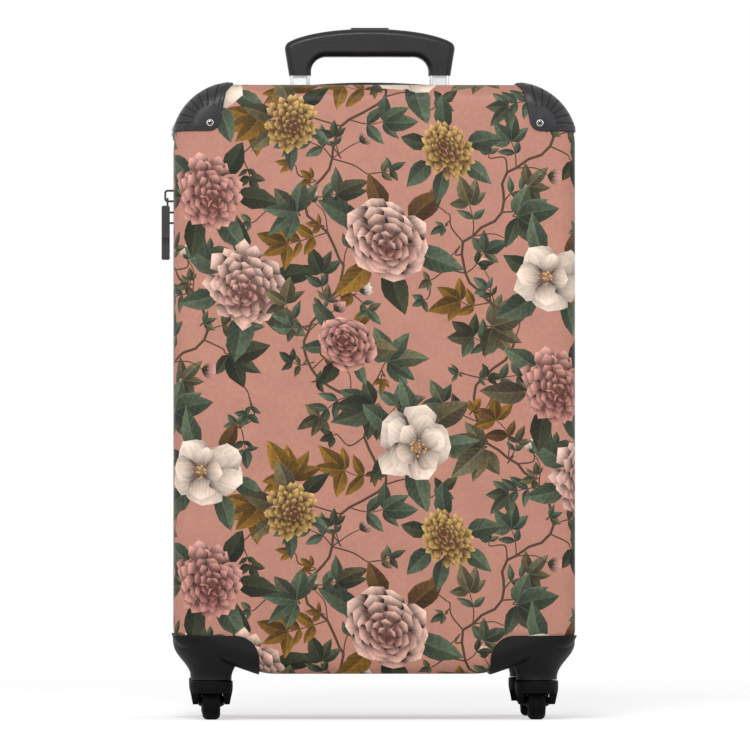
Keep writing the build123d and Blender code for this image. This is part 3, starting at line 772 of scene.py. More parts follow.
def printed_polycarbonate():
    """Polycarbonate sheet with a printed film under clear lacquer: soft gloss, painted petals and leaves."""
    tree, shader = start_finish("printed_polycarbonate")
    tint = node(tree, "ShaderNodeAttribute", attribute_name="print_tint").outputs["Color"]
    place = node(tree, "ShaderNodeAttribute", attribute_name="print_place").outputs["Vector"]
    spot = spot_of(tree)
    along, across, kind = node(tree, "ShaderNodeSeparateXYZ", {0: place}).outputs
    width = calc(tree, "ABSOLUTE", across)
    masks = [calc(tree, "COMPARE", kind, float(k), 0.3) for k in range(6)]
    # Share of the way from the midrib out to the edge, for leaves and for petals
    rims = []
    for lead, fullness in (LEAF_FORM, PETAL_FORM):
        eased = calc(tree, "POWER", along, lead, use_clamp=True)
        angle = calc(tree, "MULTIPLY", eased, math.pi)
        sine = calc(tree, "SINE", angle, use_clamp=True)
        half = calc(tree, "POWER", sine, fullness)
        open_half = calc(tree, "MAXIMUM", half, 0.08)
        rims.append(calc(tree, "DIVIDE", width, open_half))
    # Leaves: a pale midrib, slanting veins, one half in shade, a dark foot and a light edge on the lit half
    lean = calc(tree, "MULTIPLY_ADD", width, -0.26, along)
    beat = calc(tree, "MULTIPLY", lean, 7.0)
    swing = calc(tree, "PINGPONG", beat, 0.5)
    vein = ramp(tree, swing, 0.0, 0.15, 0.3, 0.0, smooth=True)
    rib = ramp(tree, width, 0.03, 0.14, 0.55, 0.0, smooth=True)
    line = calc(tree, "MAXIMUM", vein, rib)
    halves = ramp(tree, across, -0.15, 0.2, 0.6, 1.18, smooth=True)
    lighter = ramp(tree, along, 0.0, 0.9, 0.5, 1.15, smooth=True)
    edged = ramp(tree, rims[0], 0.55, 1.0, 1.0, 1.2, smooth=True)
    body = calc(tree, "MULTIPLY", halves, lighter)
    leaf_tone = calc(tree, "MULTIPLY_ADD", body, edged, line)
    # Petals: deep at the foot, light at the lip, shaded to their sides, with fine streaks along them. In a full
    # bloom only the ends show, so there the rise from deep to light lies near the lip
    grain = node(tree, "ShaderNodeCombineXYZ", {0: across, 1: along}).outputs[0]
    stretch = node(tree, "ShaderNodeVectorMath", {0: grain, 1: (7.0, 1.3, 1.0)}, operation="MULTIPLY").outputs[0]
    wander = {0: spot, 1: (60.0, 60.0, 60.0), 2: stretch}
    wandering = node(tree, "ShaderNodeVectorMath", wander, operation="MULTIPLY_ADD").outputs[0]
    streak = noise(tree, wandering, 1.0, 2.0)
    base = ramp(tree, masks[TUFT], 0.0, 1.0, 0.12, 0.48)
    rise = ramp(tree, along, base, 0.94, 0.28, 1.08, smooth=True)
    lip = ramp(tree, along, 0.8, 1.0, 0.0, 0.16, smooth=True)
    flank = ramp(tree, rims[1], 0.45, 1.0, 0.0, -0.2, smooth=True)
    streaks = ramp(tree, streak, 0.3, 0.7, -0.13, 0.1)
    turned = calc(tree, "MULTIPLY_ADD", across, 0.12, streaks)
    petal_body = calc(tree, "ADD", rise, lip)
    sided = calc(tree, "ADD", turned, flank)
    petal_tone = calc(tree, "ADD", petal_body, sided)
    # Stems are round, and spots are little domes
    stem_tone = ramp(tree, across, -1.0, 1.0, 0.7, 1.35)
    radius = size_of(tree, grain)
    bead_tone = ramp(tree, radius, 0.0, 1.0, 1.25, 0.7)
    tone = masks[GROUND]
    petals = calc(tree, "ADD", masks[PETAL], masks[TUFT])
    tones = ((masks[LEAF], leaf_tone), (petals, petal_tone), (masks[STEM], stem_tone), (masks[BEAD], bead_tone))
    for mask, value in tones:
        tone = calc(tree, "MULTIPLY_ADD", mask, value, tone)
    # Brush marks: broad washes, and dabs of a few millimetres that show most on leaves
    wash = noise(tree, spot, WASH, 4.0)
    dabs = noise(tree, spot, DABS, 3.0)
    daub = ramp(tree, dabs, 0.3, 0.7, -0.3, 0.3)
    drawn = ramp(tree, masks[LEAF], 0.0, 1.0, 0.16, 0.9)
    level = ramp(tree, wash, 0.3, 0.7, 0.94, 1.05)
    washed = calc(tree, "MULTIPLY_ADD", daub, drawn, level)
    tone = calc(tree, "MULTIPLY", tone, washed)
    colour = scaled(tree, tint, tone)
    warm_end = calc(tree, "ADD", base, 0.3)
    warm = ramp(tree, along, 0.05, warm_end, 0.6, 0.0)
    flush = calc(tree, "MULTIPLY", petals, warm)
    deep = (*bpy.context.scene.case_print.flush, 1.0)
    mix = node(tree, "ShaderNodeMix", {0: flush, 6: colour, 7: deep}, data_type="RGBA").outputs[2]
    tree.links.new(mix, shader.inputs["Base Color"])
    # Orange peel of the lacquer, a millimetre or two across
    peel = noise(tree, spot, PEEL, 1.0)
    relief(tree, shader, 0.03, 0.0004, peel)
    shader.inputs["Roughness"].default_value = 0.44
    shader.inputs["Specular IOR Level"].default_value = 0.2


def plain_finish(name, colour, roughness, grain_mm, grain_depth, spread=0.06, stretch=(1, 1, 1), **sockets):
    """A moulded or drawn surface: grain of a real size in its relief, and gentle change in its gloss and tone."""
    tree, shader = start_finish(name)
    spot = spot_of(tree)
    run = node(tree, "ShaderNodeVectorMath", {0: spot, 1: stretch}, operation="MULTIPLY").outputs[0]
    grain = noise(tree, run, 1 / (grain_mm * MM), 3.0)
    cloud = noise(tree, spot, 45.0, 4.0)
    relief(tree, shader, 0.35, grain_depth * MM, grain)
    low, high = max(0.03, roughness - spread), min(1.0, roughness + spread)
    gloss = ramp(tree, cloud, 0.3, 0.7, low, high)
    tree.links.new(gloss, shader.inputs["Roughness"])
    blend = ramp(tree, grain, 0.3, 0.7, 0.88, 1.1)
    given = linear(colour)[:3] if isinstance(colour, str) else tuple(colour)
    tone = scaled(tree, given, blend)
    tree.links.new(tone, shader.inputs["Base Color"])
    for key, value in sockets.items():
        shader.inputs[key.replace("_", " ").title().replace("Ior", "IOR")].default_value = value


def woven_finish(name, colour, thread_mm, depth_mm, sheen):
    """Woven polyester: two sets of threads over and under, with a soft sheen."""
    tree, shader = start_finish(name)
    spot = spot_of(tree)
    turned = node(tree, "ShaderNodeMapping", {"Vector": spot, "Rotation": (0.0, math.radians(45), 0.0)}).outputs[0]
    scale = 1 / (thread_mm * MM * 3.18)
    bands = [
        node(
            tree, "ShaderNodeTexWave", {"Vector": turned, "Scale": scale, "Distortion": 0.4, "Detail": 1.0},
            bands_direction=direction,
        ).outputs["Fac"]
        for direction in ("X", "Z")
    ]
    weave = calc(tree, "MULTIPLY", bands[0], bands[1])
    relief(tree, shader, 0.8, depth_mm * MM, weave)
    # Tone follows the weave: painted shade between the threads and painted highlight on their tops
    shade = ramp(tree, weave, 0.0, 1.0, 0.62, 1.35)
    tone = scaled(tree, linear(colour)[:3], shade)
    tree.links.new(tone, shader.inputs["Base Color"])
    shader.inputs["Roughness"].default_value = 0.85
    shader.inputs["Sheen Weight"].default_value = sheen


def make_finishes(trim):
    """All finishes of the suitcase, each from what the real surface is."""
    printed_polycarbonate()
    # Bare inside of the polycarbonate sheet: dull dark grey
    plain_finish("bare_polycarbonate", "#2c2a2b", 0.5, 0.8, 0.02, ior=1.58)
    # ABS moulded against an etched steel tool: satin charcoal with a fine even grain
    plain_finish("etched_abs", trim.guard_colour, 0.42, 0.35, 0.03, specular_ior_level=0.4)
    # ABS of the wheel housings and hubs: the same resin, darker, with a duller skin
    plain_finish("moulded_abs", trim.housing_colour, 0.4, 0.5, 0.02, specular_ior_level=0.24)
    # Glass-filled nylon of the forks: dull and almost black
    plain_finish("glass_filled_nylon", "#0a0a0b", 0.5, 0.5, 0.02, specular_ior_level=0.1)
    # Phosphated steel of axles and pins: dark grey, matt
    plain_finish("phosphated_steel", "#2b2b2c", 0.55, 0.4, 0.01, specular_ior_level=0.3)
    # ABS moulded against a polished tool: soft gloss with broad reflections
    plain_finish("polished_abs", trim.grip_colour, 0.36, 0.9, 0.015, specular_ior_level=0.32)
    # Aluminium tube, drawn and clear anodised: fine lines down its length
    plain_finish("anodised_aluminium", "#d6d8da", 0.3, 0.3, 0.01, stretch=(1, 1, 0.02), metallic=1.0)
    # Nickel-plated steel: bright mirror heads
    plain_finish("nickel_plate", "#d9d8d4", 0.12, 0.6, 0.004, 0.04, metallic=1.0)
    # Floor of a screw's cross recess: almost black, painted shade in the recess
    plain_finish("recess_painted_shade", "#171615", 0.6, 0.4, 0.01, specular_ior_level=0.1)
    # Zinc-plated steel: pale and slightly dull
    plain_finish("zinc_plate", "#b4b6b8", 0.34, 0.5, 0.01, metallic=1.0)
    # Die-cast zinc under black lacquer: even soft gloss
    plain_finish("black_lacquer", "#19191b", 0.28, 1.2, 0.02, ior=1.5, coat_weight=0.5)
    # Cast polyurethane tyre: dull black
    plain_finish("cast_polyurethane", "#0d0c0d", 0.5, 0.6, 0.02, specular_ior_level=0.1)
    # Nylon zip teeth: waxy black
    plain_finish("moulded_nylon", "#161617", 0.35, 0.7, 0.01, ior=1.53)
    # Zip and hinge tape: half-millimetre ribs of black polyester
    woven_finish("woven_tape", "#1c1c1e", 0.55, 0.12, 0.3)
    # Lining: fine grey twill, drawn a little coarse so that it shows
    woven_finish("lining_twill", "#4a4a4d", 0.7, 0.1, 0.25)


# Guards, screws and wheels

def corner_centre():
    """Centre of the left top corner's arc, in the front view."""
    return np.array((CORNER_RADIUS - HALF_WIDTH, CASE_TOP - CORNER_RADIUS))


def unrolled(point, lift):
    """Place on the flat sheet of a point on the left top corner, as the front view shows it."""
    away = point - corner_centre()
    reach = np.linalg.norm(away)
    flat = CORNER_RADIUS - EDGE_RADIUS
    turn = math.asin(min(1.0, max(0.0, (reach - flat) / (EDGE_RADIUS + lift))))
    return corner_centre() + away / reach * (min(reach, flat) + EDGE_RADIUS * turn)


def guard_border(trim, lift):
    """Edge of the left guard on the flat sheet: along its foot, up its inner edge and back along the rim."""
    low_corner, high_corner = (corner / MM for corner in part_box("front_corner_guard_left"))
    low, centre = low_corner.z, corner_centre()
    flat = CORNER_RADIUS - EDGE_RADIUS
    rim_run = EDGE_RUN + WALL_RUN - trim.guard_setback / MM
    heights = (low, CASE_TOP - trim.guard_flare_drop / MM, CASE_TOP + lift)
    reaches = (trim.guard_reach_low / MM - HALF_WIDTH, trim.guard_reach_top / MM - HALF_WIDTH, high_corner.x)
    side = []
    for k in range(25):
        run = rim_run * (1 - k / 24)
        reach = flat + (EDGE_RADIUS + lift) * math.sin(min(run / EDGE_RADIUS, math.pi / 2))
        turn = math.asin((low - centre[1]) / reach)
        side.append(centre + (flat + run) * np.array((-math.cos(turn), math.sin(turn))))
    corner = np.array((reaches[0], low))
    up = np.array((reaches[1] - reaches[0], heights[1] - low))
    bend = trim.guard_corner / MM
    before, after = corner - (bend, 0), corner + up / np.linalg.norm(up) * bend
    rounding = [(1 - t) ** 2 * before + 2 * t * (1 - t) * corner + t**2 * after for t in np.linspace(0, 1, 9)]
    slant = []
    for run in np.concatenate((np.linspace(0, EDGE_RUN, 9), np.linspace(EDGE_RUN, rim_run, 9)[1:])):
        height = centre[1] + flat + (EDGE_RADIUS + lift) * math.sin(min(run / EDGE_RADIUS, math.pi / 2))
        slant.append(np.array((np.interp(height, heights, reaches), centre[1] + flat + run)))
    first, last = (math.atan2(p[1] - centre[1], p[0] - centre[0]) for p in (slant[-1], side[0]))
    rim = [centre + (flat + rim_run) * heading(first + (last - first) * k / 24) for k in range(1, 24)]
    return np.array(side + rounding + slant + rim)


def taken_in(loop, inset):
    """A closed flat loop, moved inwards by an even margin."""
    before, after = np.roll(loop, 1, 0), np.roll(loop, -1, 0)
    first = (loop - before) / np.linalg.norm(loop - before, axis=1)[:, None]
    second = (after - loop) / np.linalg.norm(after - loop, axis=1)[:, None]
    normal = np.stack((-first[:, 1] - second[:, 1], first[:, 0] + second[:, 0]), 1)
    normal /= np.linalg.norm(normal, axis=1)[:, None]
    spread = (normal * np.stack((-second[:, 1], second[:, 0]), 1)).sum(1)
    return loop + normal * inset / np.maximum(spread, 0.35)[:, None]


def gap_to(points, line):
    """Distance of flat points from a line."""
    gap = np.full(len(points), np.inf)
    for start, end in zip(line, line[1:]):
        step = end - start
        share = np.clip((points - start) @ step / (step @ step), 0, 1)
        gap = np.minimum(gap, np.linalg.norm(points - start - share[:, None] * step, axis=1))
    return gap


def guard_grooves(trim, lift):
    """Keyhole grooves fanned out round the face screw, over the rounded edge: a line on the flat sheet each."""
    hub = np.array(screw_seats("front")[3][0])[[0, 2]]
    grooves = []
    for turn in np.linspace(trim.groove_first, trim.groove_last, trim.groove_count):
        way = heading(turn)
        eye = hub + way * trim.groove_start / MM
        rel = eye - corner_centre()
        reach = CORNER_RADIUS + lift - trim.groove_margin / MM
        length = math.sqrt((rel @ way) ** 2 + reach**2 - rel @ rel) - rel @ way
        grooves.append(np.array([unrolled(eye + way * length * k / 7, lift) for k in range(8)]))
    return grooves


def sides_of(line, half):
    """Outline of a narrow strip along a line."""
    step = np.gradient(line, axis=0)
    across = np.stack((-step[:, 1], step[:, 0]), 1) / np.linalg.norm(step, axis=1)[:, None] * half
    return closed(np.vstack((line - across, (line + across)[::-1])))


def corner_guard(name, half, side, trim):
    """One moulded guard: a rounded cap with a stepped edge and keyhole grooves."""
    seat, wall, bevel = 0.15, 2.4, 0.25
    # Height of the cap's skin above its seat, at distances in from its edge
    insets = (0.0, 0.5, 1.2, 3.2, 4.0)
    heights = (wall * 0.5, wall * 0.74, wall * 0.82, wall * 0.84, wall)
    edge = guard_border(trim, seat + wall)
    lines = [closed(taken_in(edge, inset)) for inset in insets[1:]]
    grooves = guard_grooves(trim, seat + wall)
    eye, slot = trim.groove_eye / MM, trim.groove_width / MM / 2
    for groove in grooves:
        for shrink in (0, bevel):
            circle = [groove[0] + (eye - shrink) * heading(math.pi * k / 6) for k in range(13)]
            lines += [np.array(circle), sides_of(groove, slot - shrink)]
    sheet, triangles, owners = divide([edge], lines + fold_lines(EDGE_RUN + WALL_RUN))
    sheet, triangles = used_only(sheet, triangles[[k for k, owner in enumerate(owners) if 0 in owner]])
    height = np.interp(gap_to(sheet, closed(edge)), insets, heights)
    sink = np.zeros(len(sheet))
    for groove in grooves:
        sink = np.maximum(sink, np.clip((slot - gap_to(sheet, groove)) / bevel, 0, 1))
        sink = np.maximum(sink, np.clip((eye - np.linalg.norm(sheet - groove[0], axis=1)) / bevel, 0, 1))
    outside = on_case(sheet, seat + height - trim.groove_depth / MM * sink, half)[0]
    inside = on_case(sheet, seat, half)[0]
    count = len(sheet)
    faces = [tuple(t) for t in triangles.tolist()]
    faces += [tuple(k + count for k in t[::-1]) for t in triangles.tolist()]
    faces += [(b, a, a + count, b + count) for a, b in border(triangles)]
    places = np.vstack((outside, inside))
    if side == "right":
        places[:, 0] *= -1
    if (half == "rear") != (side == "right"):
        faces = [face[::-1] for face in faces]
    return smooth_piece(name, places, faces, finishes["etched_abs"])


def screw_seats(half):
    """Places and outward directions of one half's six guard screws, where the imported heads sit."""
    facing = FACING[half]
    inset, drop, setback, angle, lift = 31.0, 33.5, 50.0, math.radians(17), 2.55
    seats = [((HALF_WIDTH - inset, facing * (HALF_DEPTH + lift), CASE_TOP - drop), (0, facing, 0))]
    for turn in (angle, math.pi / 2 - angle):
        way = np.array((math.cos(turn), 0, math.sin(turn)))
        place = np.array((HALF_WIDTH - CORNER_RADIUS, facing * (HALF_DEPTH - setback), CASE_TOP - CORNER_RADIUS))
        seats.append((place + way * (CORNER_RADIUS + lift), way))
    mirrored = [((-p[0], p[1], p[2]), (-w[0], w[1], w[2])) for p, w in seats]
    return seats + mirrored


def screw_tree():
    """Geometry Nodes: a pan-head screw with a cross recess on every seat, turned at random."""
    tree, given = start_tree("cross_screws", {
        "Head radius": "Float", "Head height": "Float", "Recess width": "Float", "Recess length": "Float",
        "Finish": "Material", "Recess painted shade": "Material",
    })
    # Head: a disc whose top falls away to its edge
    disc = node(
        tree, "GeometryNodeMeshCylinder",
        {"Vertices": 28, "Side Segments": 3, "Fill Segments": 4, "Radius": given["Head radius"],
         "Depth": given["Head height"]},
    ).outputs["Mesh"]
    spot = node(tree, "GeometryNodeInputPosition").outputs[0]
    flat = node(tree, "ShaderNodeVectorMath", {0: spot, 1: (1, 1, 0)}, operation="MULTIPLY").outputs[0]
    reach = size_of(tree, flat)
    share = calc(tree, "DIVIDE", reach, given["Head radius"])
    crown = calc(tree, "POWER", share, 2.6)
    up = node(tree, "ShaderNodeSeparateXYZ", {0: spot}).outputs[2]
    above = calc(tree, "GREATER_THAN", up, 0.0)
    fall = calc(tree, "MULTIPLY", crown, above)
    drop = calc(tree, "MULTIPLY", fall, given["Head height"])
    halved = calc(tree, "MULTIPLY", drop, -0.5)
    offset = upward(tree, halved)
    dome = node(tree, "GeometryNodeSetPosition", {"Geometry": disc, "Offset": offset}).outputs[0]
    # Recess, cut by two crossed bars
    cross = node(tree, "GeometryNodeMeshBoolean", operation="UNION")
    sizes = given["Recess length"], given["Recess width"], given["Head height"]
    for order in ((0, 1, 2), (1, 0, 2)):
        size = node(tree, "ShaderNodeCombineXYZ", dict(zip(order, sizes))).outputs[0]
        bar = node(tree, "GeometryNodeMeshCube", {"Size": size}).outputs["Mesh"]
        tree.links.new(bar, cross.inputs["Mesh 2"])
    lifted = upward(tree, given["Head height"])
    sunk = scaled(tree, lifted, 0.3)
    tool = node(tree, "GeometryNodeTransform", {"Geometry": cross.outputs[0], "Translation": sunk}).outputs[0]
    head = node(tree, "GeometryNodeMeshBoolean", {"Mesh 1": dome, "Mesh 2": tool}, operation="DIFFERENCE").outputs[0]
    # Its faces, near the middle and below the top, for a near-black material of their own: painted shade in the
    # recess
    near = calc(tree, "LESS_THAN", share, 0.68)
    brow = calc(tree, "MULTIPLY", given["Head height"], 0.4)
    under = calc(tree, "LESS_THAN", up, brow)
    within = calc(tree, "MULTIPLY", near, under)
    head = node(
        tree, "GeometryNodeStoreNamedAttribute", {"Geometry": head, "Name": "recess", "Value": within},
        data_type="FLOAT", domain="FACE",
    ).outputs[0]
    seated = scaled(tree, lifted, 0.5)
    head = node(tree, "GeometryNodeTransform", {"Geometry": head, "Translation": seated}).outputs[0]
    # A head on every seat, facing outwards
    way = node(tree, "GeometryNodeInputNamedAttribute", {"Name": "seat_way"}, data_type="FLOAT_VECTOR").outputs[0]
    aimed = node(tree, "FunctionNodeAlignRotationToVector", {"Vector": way}, axis="Z").outputs[0]
    turn = node(tree, "FunctionNodeRandomValue", {2: 0.0, 3: math.pi / 2, "Seed": 5}, data_type="FLOAT").outputs[1]
    spin = upward(tree, turn)
    twist = node(tree, "FunctionNodeEulerToRotation", {0: spin}).outputs[0]
    turned = node(tree, "FunctionNodeRotateRotation", {0: aimed, 1: twist}, rotation_space="LOCAL").outputs[0]
    heads = node(
        tree, "GeometryNodeInstanceOnPoints", {"Points": given["Geometry"], "Instance": head, "Rotation": turned}
    ).outputs[0]
    real = node(tree, "GeometryNodeRealizeInstances", {0: heads}).outputs[0]
    plated = node(tree, "GeometryNodeSetMaterial", {"Geometry": real, "Material": given["Finish"]}).outputs[0]
    recess = node(tree, "GeometryNodeInputNamedAttribute", {"Name": "recess"}, data_type="FLOAT").outputs[0]
    done = node(
        tree, "GeometryNodeSetMaterial",
        {"Geometry": plated, "Selection": recess, "Material": given["Recess painted shade"]},
    ).outputs[0]
    node(tree, "NodeGroupOutput", {0: done})
    return tree


def lathe(profile, centre, materials, name, steps=48):
    """A piece turned about a sideways axis: radius, sideways place and finish of each profile point."""
    places = []
    for k in range(steps):
        turn = 2 * math.pi * k / steps
        for radius, across, _ in profile:
            y, z = radius * MM * math.cos(turn), radius * MM * math.sin(turn)
            places.append((centre.x + across * MM, centre.y + y, centre.z + z))
    piece = smooth_piece(name, places, sweep_faces(steps, len(profile), around=True), *materials)
    slots = [slot for _, _, slot in profile] * steps
    piece.data.polygons.foreach_set("material_index", np.array(slots, np.int32))
    return piece


def wheel_profile(tread, hub_end):
    """Section of a wheel from its bore to its tread: a rounded tyre on a dished hub."""
    bore, hub, tyre_side, shoulder = 1.65, 5.5, 7.75, 4.6
    half = [
        (bore, hub_end, HUB), (hub - 2.2, hub_end, HUB), (hub - 1.7, hub_end - 0.5, HUB), (hub, 6.6, HUB),
        (hub + 1, 5.9, HUB), (tread - 6.8, 5.9, HUB), (tread - 6.1, 6.5, HUB), (tread - 5.8, tyre_side - 0.3, TYRE),
        (tread - 5.5, tyre_side, TYRE),
    ]
    for k in range(7):
        turn = math.pi / 2 * k / 6
        half.append(
            (tread - shoulder + shoulder * math.sin(turn), tyre_side - shoulder + shoulder * math.cos(turn), TYRE)
        )
    mirrored = [(r, -x, slot) for r, x, slot in reversed(half)]
    return half + mirrored


# Zip and cloth

def zip_path(inset):
    """Open line round the case outline, from above the hinge tape round to below it, and outward directions."""
    points, ways = outline(inset, math.radians(3))
    low, high = (corner.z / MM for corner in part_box("front_hinge_tape"))
    gap = 0.3
    side = HALF_WIDTH - inset
    start = len(points) - 1 - next(k for k, w in enumerate(ways[::-1]) if w[0] > 0.999 and points[::-1][k][1] > high)
    order = list(range(start, len(points))) + [k for k in range(start) if points[k][1] < low or points[k][0] < 0]
    line = [np.array((side, high + gap))] + [points[k] for k in order] + [np.array((side, low - gap))]
    face = [np.array((1.0, 0.0))] + [ways[k] for k in order] + [np.array((1.0, 0.0))]
    return np.array(line), np.array(face)


def tape_band(name, half):
    """Woven zip tape inside one rim: a thin band along the outline."""
    inset, thick = 2.35, 0.9
    near, far = 0.8, 16.0
    facing = FACING[half]
    outer, ways = zip_path(inset)
    inner = outer - ways * thick
    places = []
    for a, b in zip(outer, inner):
        for point, depth in ((a, near), (a, far), (b, far), (b, near)):
            places.append((point[0] * MM, facing * depth * MM, point[1] * MM))
    last = len(places) - 4
    faces = sweep_faces(len(outer), 4) + [(3, 2, 1, 0), tuple(last + j for j in range(4))]
    if half == "front":
        faces = [face[::-1] for face in faces]
    return smooth_piece(name, places, faces, finishes["woven_tape"])


def teeth_tree():
    """Geometry Nodes: moulded teeth at an even pitch along a line."""
    tree, given = start_tree("zip_teeth", {"Pitch": "Float", "Tooth": "Vector", "Finish": "Material"})
    line = node(tree, "GeometryNodeMeshToCurve", {0: given["Geometry"]}).outputs[0]
    pitch = {"Curve": line, "Length": given["Pitch"]}
    even = node(tree, "GeometryNodeResampleCurve", pitch, mode="LENGTH").outputs[0]
    block = node(tree, "GeometryNodeMeshCube", {"Size": given["Tooth"], 1: 2, 2: 3, 3: 3}).outputs["Mesh"]
    round_block = node(tree, "GeometryNodeSubdivisionSurface", {"Mesh": block, "Level": 1}).outputs[0]
    tangent = node(tree, "GeometryNodeInputTangent").outputs[0]
    aimed = node(tree, "FunctionNodeAlignRotationToVector", {"Vector": tangent}, axis="X").outputs[0]
    level = node(
        tree, "FunctionNodeAlignRotationToVector", {"Rotation": aimed, "Vector": (0, 1, 0)}, axis="Y", pivot_axis="X"
    ).outputs[0]
    teeth = node(
        tree, "GeometryNodeInstanceOnPoints", {"Points": even, "Instance": round_block, "Rotation": level}
    ).outputs[0]
    real = node(tree, "GeometryNodeRealizeInstances", {0: teeth}).outputs[0]
    done = node(tree, "GeometryNodeSetMaterial", {"Geometry": real, "Material": given["Finish"]}).outputs[0]
    node(tree, "NodeGroupOutput", {0: done})
    return tree


def hinge_strip():
    """Woven strip that joins both halves, in fine rows."""
    low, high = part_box("front_hinge_tape")
    far = -low.y
    rows, columns = 30, 24
    places, faces = [], []
    for x in (high.x, low.x):
        for i in range(rows + 1):
            for j in range(columns + 1):
                z = low.z + (high.z - low.z) * j / columns
                places.append((x, far * (2 * i / rows - 1), z))
    count = (rows + 1) * (columns + 1)
    for i in range(rows):
        for j in range(columns):
            a = i * (columns + 1) + j
            quad = (a, a + columns + 1, a + columns + 2, a + 1)
            faces += [quad, tuple(k + count for k in quad[::-1])]
    edges = [(i * (columns + 1), (i + 1) * (columns + 1)) for i in range(rows)]
    rim = [(b, a) for a, b in edges] + [(a + columns, b + columns) for a, b in edges]
    rim += [(j, j + 1) for j in range(columns)]
    top = rows * (columns + 1)
    rim += [(top + j + 1, top + j) for j in range(columns)]
    faces += [(a, b, b + count, a + count) for a, b in rim]
    return smooth_piece("hinge_strip", places, faces, finishes["woven_tape"])


def tube_cover():
    """Side and front of the space that the rear lining leaves for the handle tubes, in millimetres."""
    low, high = (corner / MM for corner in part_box("outer_tube_right"))
    side_margin, front_margin = 11.0, 5.0
    return high.x + side_margin, low.y - front_margin


def over_tubes(places, lift):
    """Rear lining raised over the handle tubes: its back is drawn forward between two sides."""
    side, near = (size * MM for size in tube_cover())
    soft = 1.2 * MM
    shift = (-lift - LINING_GAP) * MM
    share = np.clip((np.abs(places[:, 0]) - side - shift) / soft, 0, 1)
    deepest = (near - shift) + (HALF_DEPTH * MM - near) * share
    raised = places.copy()
    raised[:, 1] = np.minimum(places[:, 1], deepest)
    return raised


# Settings

def ink(name, description, hex_colour):
    """A colour setting, from an sRGB hex value."""
    return bpy.props.FloatVectorProperty(
        name=name, description=description, default=linear(hex_colour)[:3], subtype="COLOR", min=0.0, max=1.0)


def length(name, description, metres):
    """A length setting."""
    return bpy.props.FloatProperty(name=name, description=description, default=metres, unit="LENGTH")


def direction(name, description, degrees):
    """An angle setting."""
    return bpy.props.FloatProperty(
        name=name, description=description, default=math.radians(degrees), subtype="ANGLE")


class CasePrint(bpy.types.PropertyGroup):
    """The floral print: its repeat and its inks."""

    seed: bpy.props.IntProperty(name="Seed", description="Fixed seed of the print's small changes", default=11)
    tile_width: length("Repeat width", "Width of one repeat", 0.298)
    tile_height: length("Repeat height", "Height of one repeat", 0.334)
    ground: ink("Ground", "Ground colour", "#c28a79")
    stem: ink("Stems", "Stem colour", "#54402f")
    leaf: ink("Leaves", "Grey-green of the leaves", "#4d5845")
    moss: ink("Dark leaves", "Deep green of the leaves", "#373a28")
    sage: ink("Olive leaves", "Brownish olive of the leaves", "#60563d")
    ochre_leaf: ink("Dry leaves", "Ochre of the dry leaves", "#79571f")
    bronze_leaf: ink("Bronze leaves", "Brown of the dry leaves", "#5c3f23")
    cream: ink("Cream", "Cream petals", "#f2dfce")
    cream_deep: ink("Cream shade", "Shade of cream petals", "#c0937a")
    blush: ink("Blush", "Blush petals", "#f0c9b8")
    blush_deep: ink("Blush shade", "Shade of blush petals", "#a85c50")
    rose: ink("Rose", "Rose petals", "#dda396")
    rose_deep: ink("Rose shade", "Shade of rose petals", "#8a4139")
    ochre: ink("Ochre", "Ochre petals", "#d3ab68")
    ochre_deep: ink("Ochre shade", "Shade of ochre petals", "#7a531f")
    flush: ink("Flush", "Flush at the foot of petals", "#6d372d")


class CaseTrim(bpy.types.PropertyGroup):
    """Guards, screws, zip and black mouldings."""

    guard_colour: ink("Guards", "Colour of the guards", "#272629")
    housing_colour: ink("Housings", "Colour of the housings", "#0f0f11")
    grip_colour: ink("Grip", "Colour of the grip", "#201f21")
    guard_setback: length("Guard setback", "Guard's edge from the parting", 0.01)
    guard_reach_low: length("Guard foot", "Its width at its lower edge", 0.038)
    guard_reach_top: length("Guard head", "Its width below its flare", 0.045)
    guard_flare_drop: length("Guard flare", "Where its flare starts, below the top", 0.005)
    guard_corner: length("Guard corner", "Rounding of its inner corner", 0.009)
    groove_count: bpy.props.IntProperty(name="Grooves", description="Keyhole grooves in a guard", default=7, min=2)
    groove_first: direction("First groove", "Direction of the first", 180)
    groove_last: direction("Last groove", "Direction of the last", 78)
    groove_start: length("Groove start", "Eye's distance from the screw", 0.0148)
    groove_margin: length("Groove end", "Groove's end from the guard's outline", 0.0012)
    groove_eye: length("Eye", "Radius of the eye", 0.0013)
    groove_width: length("Groove", "Width of the slit", 0.0011)
    groove_depth: length("Depth", "Depth of the groove", 0.0009)
    screw_radius: length("Screw", "Radius of a head", 0.003)
    screw_height: length("Head", "Height of a head", 0.0016)
    tooth_pitch: length("Teeth", "Pitch of the teeth", 0.0024)


class CaseStage(bpy.types.PropertyGroup):
    """Camera and light."""

    distance: length("Distance", "Camera from the front face", 8.0)
    azimuth: direction("Azimuth", "Camera to the side", -1.4)
    elevation: direction("Elevation", "Camera above level", -0.84)
    lens: bpy.props.FloatProperty(name="Lens", description="Focal length in mm", default=446.1)
    aim_height: length("Aim", "Height of the picture's centre", 0.2974)
    key_power: bpy.props.FloatProperty(name="Key", description="Key light in watts", default=44.0, unit="POWER")
    side_power: bpy.props.FloatProperty(name="Sides", description="Side lights in watts", default=6.0, unit="POWER")
    sky: bpy.props.FloatProperty(name="Sky", description="Strength of the soft surrounding light", default=0.42)
    floor_lift: bpy.props.FloatProperty(
        name="Floor", description="What the camera sees over the lit floor", default=0.47)


# Operators

